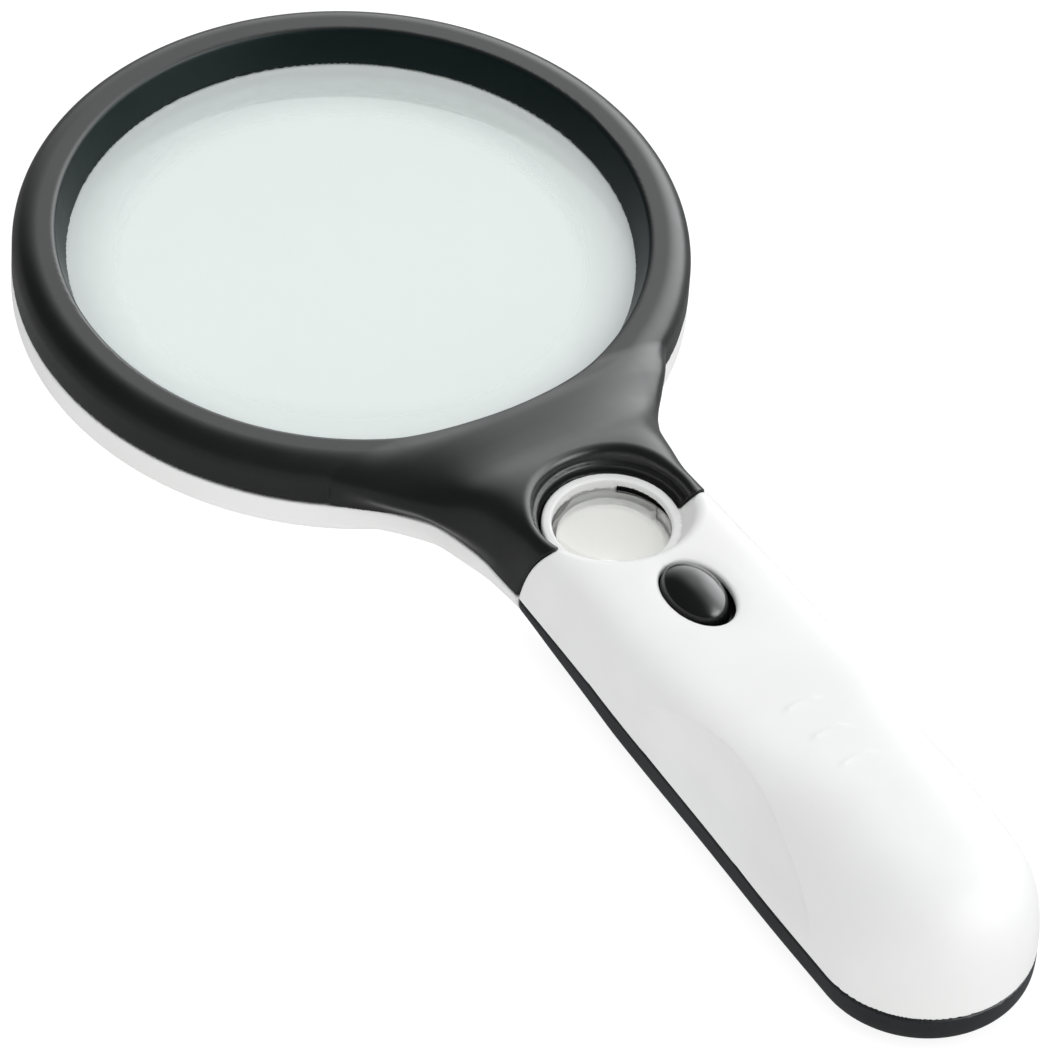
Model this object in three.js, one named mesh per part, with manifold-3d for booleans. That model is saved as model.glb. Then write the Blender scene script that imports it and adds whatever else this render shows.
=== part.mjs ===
// Hand magnifier with a large lens, a small strong lens and three lamps.
// Millimetres, +Z up, lying on its back. Inside the outer group X runs along the handle from the
// axis of the main lens, and the outer group moves the origin to the middle of the underside.
import * as THREE from 'three';
import { LoftGeometry } from 'three/addons/geometries/LoftGeometry.js';
import { mergeVertices } from 'three/addons/utils/BufferGeometryUtils.js';
import Module from 'manifold-3d';

const wasm = await Module();
wasm.setup();

// Overall
const PARTING = 5.6;
const SEAM = 0.1;
const WALL = 1.6;
const FIT = 0.3;
const WELD = 1e-4;
const FAR = 60;
const RING_SEGMENTS = 40;
const ROUND_SEGMENTS = 20;
const PIN_SEGMENTS = 8;

// Ring round the main lens
const RING_OUTER = 43.6;
const RING_TOP = 12.4;
const RIM_TOP = 38.1;
const RIM_INNER = 36.5;
const SEAT_TOP = 7.5;
const SEAT_BOTTOM = 5.3;
const REBATE = 37.8;
const CHANNEL_INNER = 39.2;
const CHANNEL_OUTER = 42;
const CHANNEL_TOP = 10.4;
const CHANNEL_CHAMFER = [0.6, 1];
const SHOULDER = { radius: 3.2, z: 9.2, turn: 78 };
const CREST = [[40.2, RING_TOP], [39, RING_TOP - 0.05], [RIM_TOP, RING_TOP - 0.3]];
const REAR_EDGE = 2.8;
const REAR_RIM = [[38.6, 0], [RIM_TOP, 0.35], [RIM_INNER, 4.4]];

// Main lens
const LENS_RADIUS = 37.5;
const LENS_EDGE = [5.4, 7.4];
const LENS_SAG = 2.9;
const LENS_BULGE = 36.3;

// Neck: half-width and top height along X
const NECK_HALF = [[36, 24.4], [37.5, 22.5], [39.8, 19.8], [42.6, 17.2], [45.1, 15.3], [48.5, 14.1],
  [53.3, 13.1], [57.6, 12.9], [61.2, 12.75], [67, 12.8]];
const NECK_TOP = [[36, 11.2], [41, 11.5], [44, 12.4], [47, 14.4], [50, 16], [53, 16.8], [60, 17.1], [67, 17.7]];
const NECK_SQUARE = [[40, 3], [48, 4], [55, 5.5], [61.5, 6.5]];
const NECK_FLARE = [[38, 1], [42, 2.2], [46.7, 1.9], [50.7, 1.7], [54.9, 0.9], [58, 0.2], [61, 0], [67, 0]];
const FLARE_RISE = 5;
const NECK_START = 36;
const NECK_HOLLOW_START = 44;
const NECK_END = 67;
const NECK_STEPS = 9;
const REAR_NECK_END = 60.9;
const PASSAGE = { half: 9.2, end: 46.5 };

// Handle: half-width, top height and squareness along X
const HANDLE_START = 61.2;
const HANDLE_HALF = [[61.2, 12.75], [74, 12.9], [89, 13.3], [105, 13.5], [120, 13.85], [132.8, 13.9]];
const HANDLE_TOP = [[60, 17.1], [67, 17.7], [81, 18.5], [95, 19], [103, 19.5], [112, 20.6],
  [120, 21.7], [126, 22.1], [132.8, 21.8]];
const HANDLE_SQUARE = [[61.5, 6.5], [81, 6.2], [92, 5.6], [103, 4.9], [112, 3.8], [120, 3.2], [132.8, 2.9]];
const UNDER_SQUARE = [[47, 4.4], [51, 3.9], [56, 3], [61, 2.5], [70, 3.2], [84, 4.4]];
const TAIL_CENTRE = 132.8;
const TAIL_RADIUS = 13.9;
const TAIL_FALL = 2.6;
const TAIL_UNDER_FALL = 5;
const HANDLE_STEPS = { straight: 8, rounded: 6, last: 0.99 };
const SECTION_POINTS = 24;

// Thumb ribs on top and a finger hollow on each flank
const RIBS = { at: [104, 110, 116], radius: 7, spread: 0.45, half: 0.4, rise: 0.15 };
const HOLLOW = { at: [109, 14.95, 13.1], half: [32, 3.2, 10.5], tilt: 13, wall: 1.1, rings: 24 };

// Seam between neck and handle front, leaning back as it rises: x = start + lean * t + bow * t * t
const SEAM_START = 61;
const SEAM_LEAN = 0.2;
const SEAM_BOW = 0.0175;
const SEAM_RISE = 14;
const SEAM_STEP = 2;

// Small lens and its well
const WELL_X = 62.1;
const WELL_WIDE = 10.1;
const WELL_STEP = 9.6;
const WELL_NARROW = 9.1;
const WELL_LEDGES = [9.4, 13.2, 14.2];
const TUBE_OUTER = 8.8;
const TUBE_INNER = 7.5;
const TUBE_REBATE = 8;
const TUBE_TOP = 13.6;
const TUBE_SEAT = 12;
const DISH_OUTER = 10.6;
const DISH_TOP = 16.5;
const DISH_BEND = [9.6, 0.8];
const DISH_WALL_FROM = 12.4;
const WELL_SEGMENTS = 28;
const SMALL_LENS_RADIUS = 7.7;
const SMALL_LENS_EDGE = [10, 11.8];
const SMALL_LENS_SAG = 1.7;
const SMALL_LENS_BULGE = 6.8;
const REAR_TUBE_INNER = 6.8;
const REAR_TUBE_TOP = 9.7;
const COLLAR_RADIUS = 10.6;
const LENS_STEPS = 5;
const SLOT_ANGLES = [48, 143];
const SLOT_HEIGHTS = [9.9, 11.5];

// Thumb button and slide switch
const BUTTON_X = 80.6;
const BUTTON_HALF = [5.35, 3.75];
const BUTTON_TOP = 19.9;
const BUTTON_SHOULDER = 18.2;
const FLANGE = { back: 7.3, front: 7.5, half: 5, low: 15.2, high: 15.8 };
const FORK = { near: 0.95, far: 1.75, half: 0.7, low: 13.75 };
const APERTURE_X = 81.2;
const APERTURE_HALF = [6.2, 4.05];
const APERTURE_LOW = 14;
const SWITCH_X = 81.2;
const CAN = { half: 4.3, halfWidth: 1.85, low: 11.5, high: 13.6, wall: 0.3, slot: 2.1, slotHalf: 0.9 };
const SLIDER = { half: 2, halfWidth: 1.25, low: 11.6, high: 13.1, knob: 0.8, knobHalf: 0.7, top: 15 };
const SWITCH_BASE = [4.2, 1.75];
const TERMINAL = { pitch: 2.5, radius: 0.28, low: 8.5, hole: 0.45 };
const RESISTOR = { at: [79, 5.5, 7.9], half: 1.7, radius: 0.75, leg: 0.25, reach: 3 };

// Circuit board
const BOARD = { x0: 72.2, x1: 87.2, half: 9.5, low: 9.4, high: 10.6 };
const BOARD_SCREW = [74.6, 7.6];
const BOARD_BOSS = { top: 15.8, holeTop: 13.9 };

// Cells and cradle
const CELL = { radius: 5.25, length: 43.7, nub: 0.8, nubRadius: 2.7, y: 5.55, z: 7.3 };
const BAY = [89.5, 137.5];
const SPRING_ROOM = 3.4;
const CRADLE = { x0: 88, x1: 139.3, top: 13.7, skirt: 9, skirtHalf: 8, skirtLow: 3.3, wall: 1, tailWall: 1.2 };
const CRADLE_GAP = 0.2;
const CRADLE_TAB = { x0: 138.8, x1: 143.6, half: 6.4, low: 8.9, high: 11 };
const CRADLE_NOTCH = { half: 1.1, low: 9.8, high: 11 };
const CRADLE_SCREW = [141.7, 4.3];
const CRADLE_BOSS = { low: 11.1, top: 17, holeTop: 14.9 };
const PLATE = { thick: 0.3, half: 3.8, low: 3.6, high: 10.9, gap: 0.1 };
const PLATE_TAB = { reach: 1.6, half: 0.8, low: 10.2, high: 10.5 };
const SPRING = { turns: 2.5, wide: 3.1, narrow: 1.9, wire: 0.25, stepsPerTurn: 10 };

// Battery cover: hooked tongue and finger grooves
const TONGUE = { back: 1.7, reach: 2.5, root: 0.4, half: 2.3, top: WALL + 1.3 };
const GROOVES = { count: 5, from: 84, pitch: 2.4, width: 1.1, half: 6, taper: 0.6, depth: 0.45 };

// Screws and wires
const NECK_SCREW = [47.5, 10.5];
const BOSS = 2.3;
const SLIM_BOSS = 2.1;
const NECK_BOSS = { top: 11.5, hole: 1, holeTop: 10.4, rear: 2.7, recessTop: 2.5, clear: 1.1 };
const PILOT = 0.9;
const BOARD_CLEAR = 1;
const CRADLE_CLEAR = 1.05;
const SCREW = { head: 1.1, crossHalf: 0.25, crossReach: 0.6, crossDepth: 0.45 };
const NECK_SCREW_SIZE = { low: 1.3, top: 9.9, head: 1.9, shank: 0.9 };
const BOARD_SCREW_SIZE = { low: 8.2, top: 13.5, head: 1.7, shank: 0.8 };
const CRADLE_SCREW_SIZE = { low: 7.7, top: 14.4, head: 1.7, shank: 0.8 };
const BOSS_SEGMENTS = 12;
const WIRE = 0.42;
const THIN_WIRE = 0.33;
const LAMP_ANGLE = 10;
const LAMP_Z = 3.4;
const LAMP_HOLE = { x: 37.5, radius: 1.7, length: 6 };
const LAMP = { tip: 37.5, back: 40.6, radius: 1.5, flangeFrom: 39.9, flange: 1.75 };
const LAMP_LEG = { from: 40.4, end: 44.3, y: 0.64, half: 0.22 };
const FLAT_LAMP = { near: 9.15, far: 10.1, half: 1.75, low: 9.3, high: 11.6 };
const FLAT_LAMP_TURN = 75;
const LAMP_WIRE_LOW = [[44.2, 8.45, 3.4], [45.4, 7.9, 3.9], [47.2, 7.2, 5], [50.2, 7.9, 6.6], [54, 9.5, 7],
  [58, 10.2, 7], [62, 10.35, 7], [66, 10.2, 7.1], [69.8, 9.3, 7.8], [71.7, 6.6, 9.8]];
const LAMP_WIRE_HIGH = [[44.4, 7.17, 3.4], [45.6, 6.4, 4.4], [47.2, 6, 6.4], [50.2, 6.9, 8], [54, 9, 8.35],
  [58, 10, 8.35], [62, 10.3, 8.35], [66, 9.9, 8.35], [68.8, 8.4, 8.9], [70.6, 6.4, 9.5],
  [71.7, 4.4, 9.9]];
const SMALL_WIRE_LOW = [[66.45, 8.8, 9.9], [69, 9.2, 9.9], [71.8, 9.1, 10]];
const SMALL_WIRE_HIGH = [[66.45, 8.8, 11.1], [69, 8.5, 11.2], [71.8, 8.1, 10]];
const CELL_WIRE = [[87.62, 10.9], [87.55, 12], [86.7, 12.6], [85.8, 12], [85.6, 11.05]];

const black = () => new THREE.MeshStandardMaterial({ color: 0x26272a, roughness: 0.42, metalness: 0 });
const white = () => new THREE.MeshStandardMaterial({ color: 0xf1f1f0, roughness: 0.38, metalness: 0 });
const clear = () => new THREE.MeshStandardMaterial({ color: 0xdfe6e4, roughness: 0.05, metalness: 0 });
const steel = () => new THREE.MeshStandardMaterial({ color: 0xb9bcc0, roughness: 0.3, metalness: 1 });
const brass = () => new THREE.MeshStandardMaterial({ color: 0xb48a3c, roughness: 0.35, metalness: 1 });
const green = () => new THREE.MeshStandardMaterial({ color: 0x1e6b45, roughness: 0.5, metalness: 0 });
const brown = () => new THREE.MeshStandardMaterial({ color: 0x8a5a34, roughness: 0.6, metalness: 0 });
const red = () => new THREE.MeshStandardMaterial({ color: 0xb3261e, roughness: 0.5, metalness: 0 });
const lamp = () => new THREE.MeshStandardMaterial({ color: 0xf4f2dc, roughness: 0.1, metalness: 0 });
const sleeve = () => new THREE.MeshStandardMaterial({ color: 0x2f5f93, roughness: 0.35, metalness: 0.3 });

// ---- solids ----

// A closed solid from a three.js geometry.
function solid(geometry) {
  const bare = new THREE.BufferGeometry();
  bare.setAttribute('position', geometry.attributes.position);
  bare.setIndex(geometry.index);
  const merged = mergeVertices(bare, WELD);
  return new wasm.Manifold(new wasm.Mesh({
    numProp: 3,
    vertProperties: merged.attributes.position.array,
    triVerts: new Uint32Array(merged.index.array),
  }));
}

function geometryOf(body) {
  const mesh = body.getMesh();
  const geometry = new THREE.BufferGeometry();
  geometry.setAttribute('position', new THREE.BufferAttribute(mesh.vertProperties, 3));
  geometry.setIndex(new THREE.BufferAttribute(mesh.triVerts, 1));
  geometry.computeVertexNormals();
  return geometry;
}

// A box from its lowest to its highest corner.
function box(x0, x1, y0, y1, z0, z1) {
  const geometry = new THREE.BoxGeometry(x1 - x0, y1 - y0, z1 - z0);
  geometry.translate((x0 + x1) / 2, (y0 + y1) / 2, (z0 + z1) / 2);
  return solid(geometry);
}

// An upright cylinder about the point x, y.
function post(x, y, radius, z0, z1, segments = ROUND_SEGMENTS) {
  const geometry = new THREE.CylinderGeometry(radius, radius, z1 - z0, segments);
  geometry.rotateX(Math.PI / 2);
  geometry.translate(x, y, (z0 + z1) / 2);
  return solid(geometry);
}

// A cylinder lying along X.
function rod(x0, x1, y, z, radius, segments = ROUND_SEGMENTS) {
  const geometry = new THREE.CylinderGeometry(radius, radius, x1 - x0, segments);
  geometry.rotateZ(Math.PI / 2);
  geometry.translate((x0 + x1) / 2, y, z);
  return solid(geometry);
}

// A turned body about the upright line through x, 0, from [radius, height] pairs.
function turned(profile, x = 0, segments = RING_SEGMENTS) {
  const onAxis = profile[0][0] === 0;
  const closed = onAxis ? profile : [...profile, profile[0]];
  let area = 0;
  for (let i = 0; i < profile.length; i += 1) {
    const [r0, z0] = profile[i];
    const [r1, z1] = profile[(i + 1) % profile.length];
    area += r0 * z1 - r1 * z0;
  }
  const ordered = area > 0 ? closed : [...closed].reverse();
  const points = ordered.map(([r, z]) => new THREE.Vector2(r, z));
  const geometry = new THREE.LatheGeometry(points, segments);
  geometry.rotateX(Math.PI / 2);
  geometry.translate(x, 0, 0);
  return solid(geometry);
}

// Points of an arc in the [radius, height] plane.
function arc(r, z, radius, from, to, steps) {
  const points = [];
  for (let i = 0; i <= steps; i += 1) {
    const angle = THREE.MathUtils.degToRad(from + (to - from) * i / steps);
    points.push([r + radius * Math.cos(angle), z + radius * Math.sin(angle)]);
  }
  return points;
}

// An upright prism over a flat shape.
function prism(shape, z0, z1, curveSegments = 10) {
  const geometry = new THREE.ExtrudeGeometry(shape, { depth: z1 - z0, bevelEnabled: false, curveSegments });
  geometry.translate(0, 0, z0);
  return solid(geometry);
}

// A table of [x, value] pairs read with a smooth curve.
function along(table, x) {
  const last = table.length - 1;
  if (x <= table[0][0]) return table[0][1];
  if (x >= table[last][0]) return table[last][1];
  const i = table.findIndex(([at]) => at > x) - 1;
  const slope = (k) => {
    const a = table[Math.max(k - 1, 0)];
    const b = table[Math.min(k + 1, last)];
    return (b[1] - a[1]) / (b[0] - a[0]);
  };
  const span = table[i + 1][0] - table[i][0];
  const t = (x - table[i][0]) / span;
  const rise = table[i + 1][1] - table[i][1];
  const start = slope(i) * span;
  const end = slope(i + 1) * span;
  return table[i][1] + start * t + (3 * rise - 2 * start - end) * t * t
    + (start + end - 2 * rise) * t * t * t;
}

// One cross-section: rounded rectangles above and below the parting plane.
function section(x, half, top, bottom, squareTop, flare = 0) {
  const points = [];
  const squareUnder = along(UNDER_SQUARE, x);
  for (let i = 0; i < SECTION_POINTS; i += 1) {
    const angle = 2 * Math.PI * i / SECTION_POINTS;
    const c = Math.cos(angle);
    const s = Math.sin(angle);
    const power = 2 / (s > 0 ? squareTop : squareUnder);
    const height = s > 0 ? top - PARTING : PARTING - bottom;
    const z = PARTING + height * Math.sign(s) * Math.abs(s) ** power;
    const wide = half + flare * Math.min(Math.max((z - PARTING) / FLARE_RISE, 0), 1);
    const y = wide * Math.sign(c) * Math.abs(c) ** power;
    points.push(new THREE.Vector3(x, y, z));
  }
  return points;
}

function handleSection(x, inset) {
  const reach = Math.min(Math.max((x - TAIL_CENTRE) / (TAIL_RADIUS - inset), 0), 1);
  const round = Math.sqrt(1 - reach * reach);
  const fall = (1 - reach ** TAIL_FALL) ** (1 / TAIL_FALL);
  const half = (along(HANDLE_HALF, x) - inset) * round;
  const top = PARTING + (along(HANDLE_TOP, x) - PARTING - inset) * fall;
  const underFall = (1 - reach ** TAIL_UNDER_FALL) ** (1 / TAIL_UNDER_FALL);
  const bottom = PARTING - (PARTING - inset) * underFall;
  return section(x, half, top, bottom, along(HANDLE_SQUARE, x));
}

// The whole handle, front and rear in one, drawn in by inset on every side.
function handleBody(inset, start) {
  const sections = [];
  const { straight, rounded, last } = HANDLE_STEPS;
  for (let i = 0; i < straight; i += 1) {
    sections.push(handleSection(start + (TAIL_CENTRE - start) * i / straight, inset));
  }
  for (let i = 0; i <= rounded; i += 1) {
    const turn = Math.min(i / rounded, last) * Math.PI / 2;
    sections.push(handleSection(TAIL_CENTRE + (TAIL_RADIUS - inset) * Math.sin(turn), inset));
  }
  return solid(new LoftGeometry(sections, { capStart: true, capEnd: true }));
}

// The whole neck, drawn in by inset, kept outside the ring's own wall.
function neckBody(inset, start, end, clearOf) {
  const sections = [];
  for (let i = 0; i <= NECK_STEPS; i += 1) {
    const x = start + (end - start) * i / NECK_STEPS;
    const half = along(NECK_HALF, x) - inset;
    const top = along(NECK_TOP, x) - inset;
    sections.push(section(x, half, top, inset, along(NECK_SQUARE, x), along(NECK_FLARE, x)));
  }
  const body = solid(new LoftGeometry(sections, { capStart: true, capEnd: true }));
  return body.subtract(post(0, 0, clearOf, -FAR, FAR, RING_SEGMENTS));
}

const above = box(-FAR, 3 * FAR, -FAR, FAR, PARTING + SEAM, FAR);
const below = box(-FAR, 3 * FAR, -FAR, FAR, -FAR, PARTING - SEAM);

// Everything on the neck's side of the leaning seam, with the seam moved by gap.
function neckSide(gap) {
  const shape = new THREE.Shape();
  shape.moveTo(-FAR, -FAR);
  shape.lineTo(SEAM_START + gap, -FAR);
  for (let t = 0; t <= SEAM_RISE; t += SEAM_STEP) {
    shape.lineTo(SEAM_START + SEAM_LEAN * t + SEAM_BOW * t * t + gap, PARTING + t);
  }
  shape.lineTo(-FAR, PARTING + SEAM_RISE);
  const geometry = new THREE.ExtrudeGeometry(shape, { depth: 2 * FAR, bevelEnabled: false });
  geometry.rotateX(Math.PI / 2);
  geometry.translate(0, FAR, 0);
  return solid(geometry);
}

// The opening through the ring's outer wall that lets the lamp wires into the neck.
function wirePassage() {
  const opening = box(RIM_INNER, PASSAGE.end, -PASSAGE.half, PASSAGE.half, WALL, WELL_LEDGES[0]);
  return opening.subtract(post(0, 0, CHANNEL_INNER, -FAR, FAR, RING_SEGMENTS));
}

// A screw: head below, shank above, with a cross cut in the head.
function screw([x, y], side, { low, top, head, shank }) {
  const headHigh = low + SCREW.head;
  const centre = side * y;
  const half = SCREW.crossHalf;
  const reach = head * SCREW.crossReach;
  const depth = low + SCREW.crossDepth;
  const cross = box(x - reach, x + reach, centre - half, centre + half, low - 1, depth)
    .add(box(x - half, x + half, centre - reach, centre + reach, low - 1, depth));
  return post(x, centre, head, low, headHigh, BOSS_SEGMENTS)
    .add(post(x, centre, shank, headHigh, top, PIN_SEGMENTS))
    .subtract(cross);
}

// ---- head ----

function headFrontShell() {
  const shoulder = arc(RING_OUTER - SHOULDER.radius, SHOULDER.z, SHOULDER.radius, 0, SHOULDER.turn, 3);
  const profile = [
    [RING_OUTER, PARTING + SEAM],
    ...shoulder,
    ...CREST,
    [RIM_INNER, SEAT_TOP],
    [REBATE, SEAT_TOP],
    [REBATE, PARTING + SEAM],
    [CHANNEL_INNER, PARTING + SEAM],
    [CHANNEL_INNER, CHANNEL_TOP],
    [CHANNEL_OUTER, CHANNEL_TOP],
    [CHANNEL_OUTER, PARTING + SEAM],
  ];
  const hollow = neckBody(WALL, NECK_HOLLOW_START, NECK_END + 1, RING_OUTER + WALL)
    .subtract(post(WELL_X, 0, WELL_WIDE + WALL, WELL_LEDGES[0], FAR));
  const well = post(WELL_X, 0, WELL_WIDE, WELL_LEDGES[2], FAR)
    .add(post(WELL_X, 0, WELL_STEP, WELL_LEDGES[1], FAR))
    .add(post(WELL_X, 0, WELL_NARROW, -FAR, FAR));
  let shell = neckBody(0, NECK_START, NECK_END, CHANNEL_OUTER + FIT).subtract(hollow)
    .intersect(neckSide(-SEAM))
    .add(turned(profile))
    .subtract(wirePassage());
  for (const side of [-1, 1]) {
    const [x, y] = [NECK_SCREW[0], side * NECK_SCREW[1]];
    shell = shell.add(post(x, y, BOSS, PARTING, NECK_BOSS.top, BOSS_SEGMENTS))
      .subtract(post(x, y, NECK_BOSS.hole, 0, NECK_BOSS.holeTop, PIN_SEGMENTS));
  }
  return shell.subtract(well).intersect(above);
}

function headRearShell() {
  const profile = [
    [RING_OUTER, PARTING - SEAM],
    ...arc(RING_OUTER - REAR_EDGE, REAR_EDGE, REAR_EDGE, 0, -90, 2),
    ...REAR_RIM,
    [RIM_INNER, SEAT_BOTTOM],
    [REBATE, SEAT_BOTTOM],
    [REBATE, PARTING - SEAM],
    [CHANNEL_INNER, PARTING - SEAM],
    [CHANNEL_INNER, WALL],
    [CHANNEL_OUTER - CHANNEL_CHAMFER[0], WALL],
    [CHANNEL_OUTER, WALL + CHANNEL_CHAMFER[1]],
    [CHANNEL_OUTER, PARTING - SEAM],
  ];
  let shell = neckBody(0, NECK_START, REAR_NECK_END, CHANNEL_OUTER + FIT)
    .subtract(neckBody(WALL, NECK_HOLLOW_START, REAR_NECK_END + 1, RING_OUTER + WALL))
    .add(turned(profile))
    .subtract(wirePassage())
    .intersect(below)
    .add(post(WELL_X, 0, COLLAR_RADIUS, 0, WALL))
    .add(post(WELL_X, 0, SMALL_LENS_RADIUS, 0, REAR_TUBE_TOP));
  for (const side of [-1, 1]) {
    const [x, y] = [NECK_SCREW[0], side * NECK_SCREW[1]];
    const boss = post(x, y, NECK_BOSS.rear, WALL / 2, PARTING - SEAM, BOSS_SEGMENTS)
      .intersect(neckBody(WALL / 4, NECK_START, REAR_NECK_END, CHANNEL_OUTER));
    shell = shell.add(boss)
      .subtract(post(x, y, SLIM_BOSS, -1, NECK_BOSS.recessTop, BOSS_SEGMENTS))
      .subtract(post(x, y, NECK_BOSS.clear, 0, FAR, PIN_SEGMENTS))
      .subtract(lampHole(side));
  }
  return shell.subtract(post(WELL_X, 0, REAR_TUBE_INNER, -1, FAR));
}

// A round hole in the ring's inner wall for one lamp, aimed at the lens axis.
function lampHole(side) {
  const { x, radius, length } = LAMP_HOLE;
  const geometry = new THREE.CylinderGeometry(radius, radius, length, BOSS_SEGMENTS);
  geometry.rotateZ(Math.PI / 2);
  geometry.translate(x, 0, LAMP_Z);
  geometry.rotateZ(THREE.MathUtils.degToRad(side * LAMP_ANGLE));
  return solid(geometry);
}

// A lens bulging on both faces inside a flat rim.
function lensBody(radius, bulge, [low, high], sag, x, segments) {
  const curve = (bulge * bulge + sag * sag) / (2 * sag);
  const dome = [];
  for (let i = 0; i <= LENS_STEPS; i += 1) {
    const r = bulge * i / LENS_STEPS;
    dome.push([r, sag - curve + Math.sqrt(curve * curve - r * r)]);
  }
  dome.push([radius, 0]);
  const upper = dome.map(([r, rise]) => [r, high + rise]);
  const lower = [...dome].reverse().map(([r, rise]) => [r, low - rise]);
  return turned([...upper, ...lower], x, segments);
}

function mainLens() {
  return lensBody(LENS_RADIUS, LENS_BULGE, LENS_EDGE, LENS_SAG, 0, RING_SEGMENTS);
}

function smallLens() {
  return lensBody(SMALL_LENS_RADIUS, SMALL_LENS_BULGE, SMALL_LENS_EDGE, SMALL_LENS_SAG, WELL_X, 24);
}

// ---- handle ----

// An oval prism, for the button and the opening round it.
function oval(x, [halfLength, halfWidth], z0, z1) {
  const shape = new THREE.Shape().absellipse(x, 0, halfLength, halfWidth, 0, 2 * Math.PI);
  return prism(shape, z0, z1, ROUND_SEGMENTS);
}

// The arc slot through the tube wall that the small lamp shines through.
function lightSlot() {
  const [from, to] = SLOT_ANGLES.map(THREE.MathUtils.degToRad);
  const shape = new THREE.Shape();
  shape.absarc(WELL_X, 0, TUBE_INNER - FIT, from, to, false);
  shape.absarc(WELL_X, 0, TUBE_OUTER + SEAM, to, from, true);
  return prism(shape, SLOT_HEIGHTS[0], SLOT_HEIGHTS[1], BOSS_SEGMENTS);
}

// One low curved ridge for the thumb.
function gripRib(at) {
  const { radius, spread, half, rise } = RIBS;
  const shape = new THREE.Shape();
  shape.absarc(at + radius, 0, radius + half, Math.PI - spread, Math.PI + spread, false);
  shape.absarc(at + radius, 0, radius - half, Math.PI + spread, Math.PI - spread, true);
  const top = along(HANDLE_TOP, at);
  return prism(shape, top - WALL / 2, top + rise);
}

// The scoop that makes the finger hollow on one flank, grown on every side to line it with a wall.
function fingerScoop(side, grow) {
  const geometry = new THREE.SphereGeometry(1, ROUND_SEGMENTS, HOLLOW.rings);
  geometry.scale(...HOLLOW.half.map((half) => half + grow));
  geometry.rotateX(side * THREE.MathUtils.degToRad(HOLLOW.tilt));
  geometry.translate(HOLLOW.at[0], side * HOLLOW.at[1], HOLLOW.at[2]);
  return solid(geometry);
}

// The room inside the handle, with wall taken from the outside and from the finger hollows.
function handleRoom(wall, start) {
  return handleBody(wall, start)
    .subtract(fingerScoop(1, wall + HOLLOW.wall - WALL))
    .subtract(fingerScoop(-1, wall + HOLLOW.wall - WALL));
}

// The sloping surround of the small lens.
function lensDish() {
  return turned([
    [0, TUBE_TOP],
    [TUBE_OUTER, TUBE_TOP],
    [DISH_BEND[0], TUBE_TOP + DISH_BEND[1]],
    [DISH_OUTER, DISH_TOP],
    [DISH_OUTER + 1, FAR],
    [0, FAR],
  ], WELL_X, WELL_SEGMENTS);
}

// A screw post hanging from the handle front, with its pilot hole.
function withPost(cover, [x, y], low, { top, holeTop }) {
  const stud = post(x, y, SLIM_BOSS, low, top, BOSS_SEGMENTS).intersect(handleBody(WALL / 2, HANDLE_START));
  return cover.add(stud)
    .subtract(post(x, y, PILOT, 0, holeTop, PIN_SEGMENTS));
}

function handleFrontCover() {
  const hollow = handleRoom(WALL, HANDLE_START - 2)
    .subtract(post(WELL_X, 0, DISH_OUTER + SEAM, DISH_WALL_FROM, FAR));
  let cover = handleBody(0, HANDLE_START - 1)
    .subtract(hollow)
    .subtract(neckSide(SEAM))
    .intersect(above);
  for (const side of [-1, 1]) {
    cover = withPost(cover, [BOARD_SCREW[0], side * BOARD_SCREW[1]], BOARD.high + SEAM, BOARD_BOSS);
    cover = withPost(cover, [CRADLE_SCREW[0], side * CRADLE_SCREW[1]], CRADLE_BOSS.low, CRADLE_BOSS)
      .subtract(fingerScoop(side, 0));
  }
  cover = cover.add(post(WELL_X, 0, TUBE_OUTER, PARTING + SEAM, TUBE_TOP, WELL_SEGMENTS))
    .subtract(lensDish())
    .subtract(post(WELL_X, 0, TUBE_INNER, 0, FAR, WELL_SEGMENTS))
    .subtract(post(WELL_X, 0, TUBE_REBATE, 0, TUBE_SEAT, WELL_SEGMENTS))
    .subtract(lightSlot())
    .subtract(oval(APERTURE_X, APERTURE_HALF, APERTURE_LOW, FAR));
  for (const x of RIBS.at) cover = cover.add(gripRib(x));
  return cover;
}

// The tongue that hooks over the collar round the small lens.
function coverTongue() {
  const edge = WELL_X + COLLAR_RADIUS + FIT;
  const { back, reach, root, half, top } = TONGUE;
  return box(edge - back, edge + reach, -half, half, WALL + FIT, top)
    .add(box(edge + root, edge + reach, -half, half, WALL / 2, top));
}

function batteryCover() {
  let cover = handleBody(0, HANDLE_START)
    .subtract(handleBody(WALL, HANDLE_START - 1))
    .intersect(below)
    .subtract(post(WELL_X, 0, COLLAR_RADIUS + FIT, -FAR, FAR, WELL_SEGMENTS))
    .add(coverTongue());
  for (let i = 0; i < GROOVES.count; i += 1) {
    const x = GROOVES.from + GROOVES.pitch * i;
    const half = GROOVES.half - GROOVES.taper * i;
    cover = cover.subtract(box(x, x + GROOVES.width, -half, half, -1, GROOVES.depth));
  }
  return cover;
}

// ---- thumb button and switch ----

function buttonFlange() {
  const { back, front, half, low, high } = FLANGE;
  return box(BUTTON_X - back, BUTTON_X + front, -half, half, low, high);
}

function switchButton() {
  const dome = new THREE.SphereGeometry(1, 20, 8);
  dome.scale(BUTTON_HALF[0], BUTTON_HALF[1], BUTTON_TOP - BUTTON_SHOULDER);
  dome.translate(BUTTON_X, 0, BUTTON_SHOULDER);
  let button = oval(BUTTON_X, BUTTON_HALF, FLANGE.low, BUTTON_SHOULDER)
    .add(solid(dome))
    .add(buttonFlange());
  for (const side of [-1, 1]) {
    const ends = [BUTTON_X + side * FORK.near, BUTTON_X + side * FORK.far].sort((a, b) => a - b);
    button = button.add(box(ends[0], ends[1], -FORK.half, FORK.half, FORK.low, FLANGE.low + 0.2));
  }
  return button;
}

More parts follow.
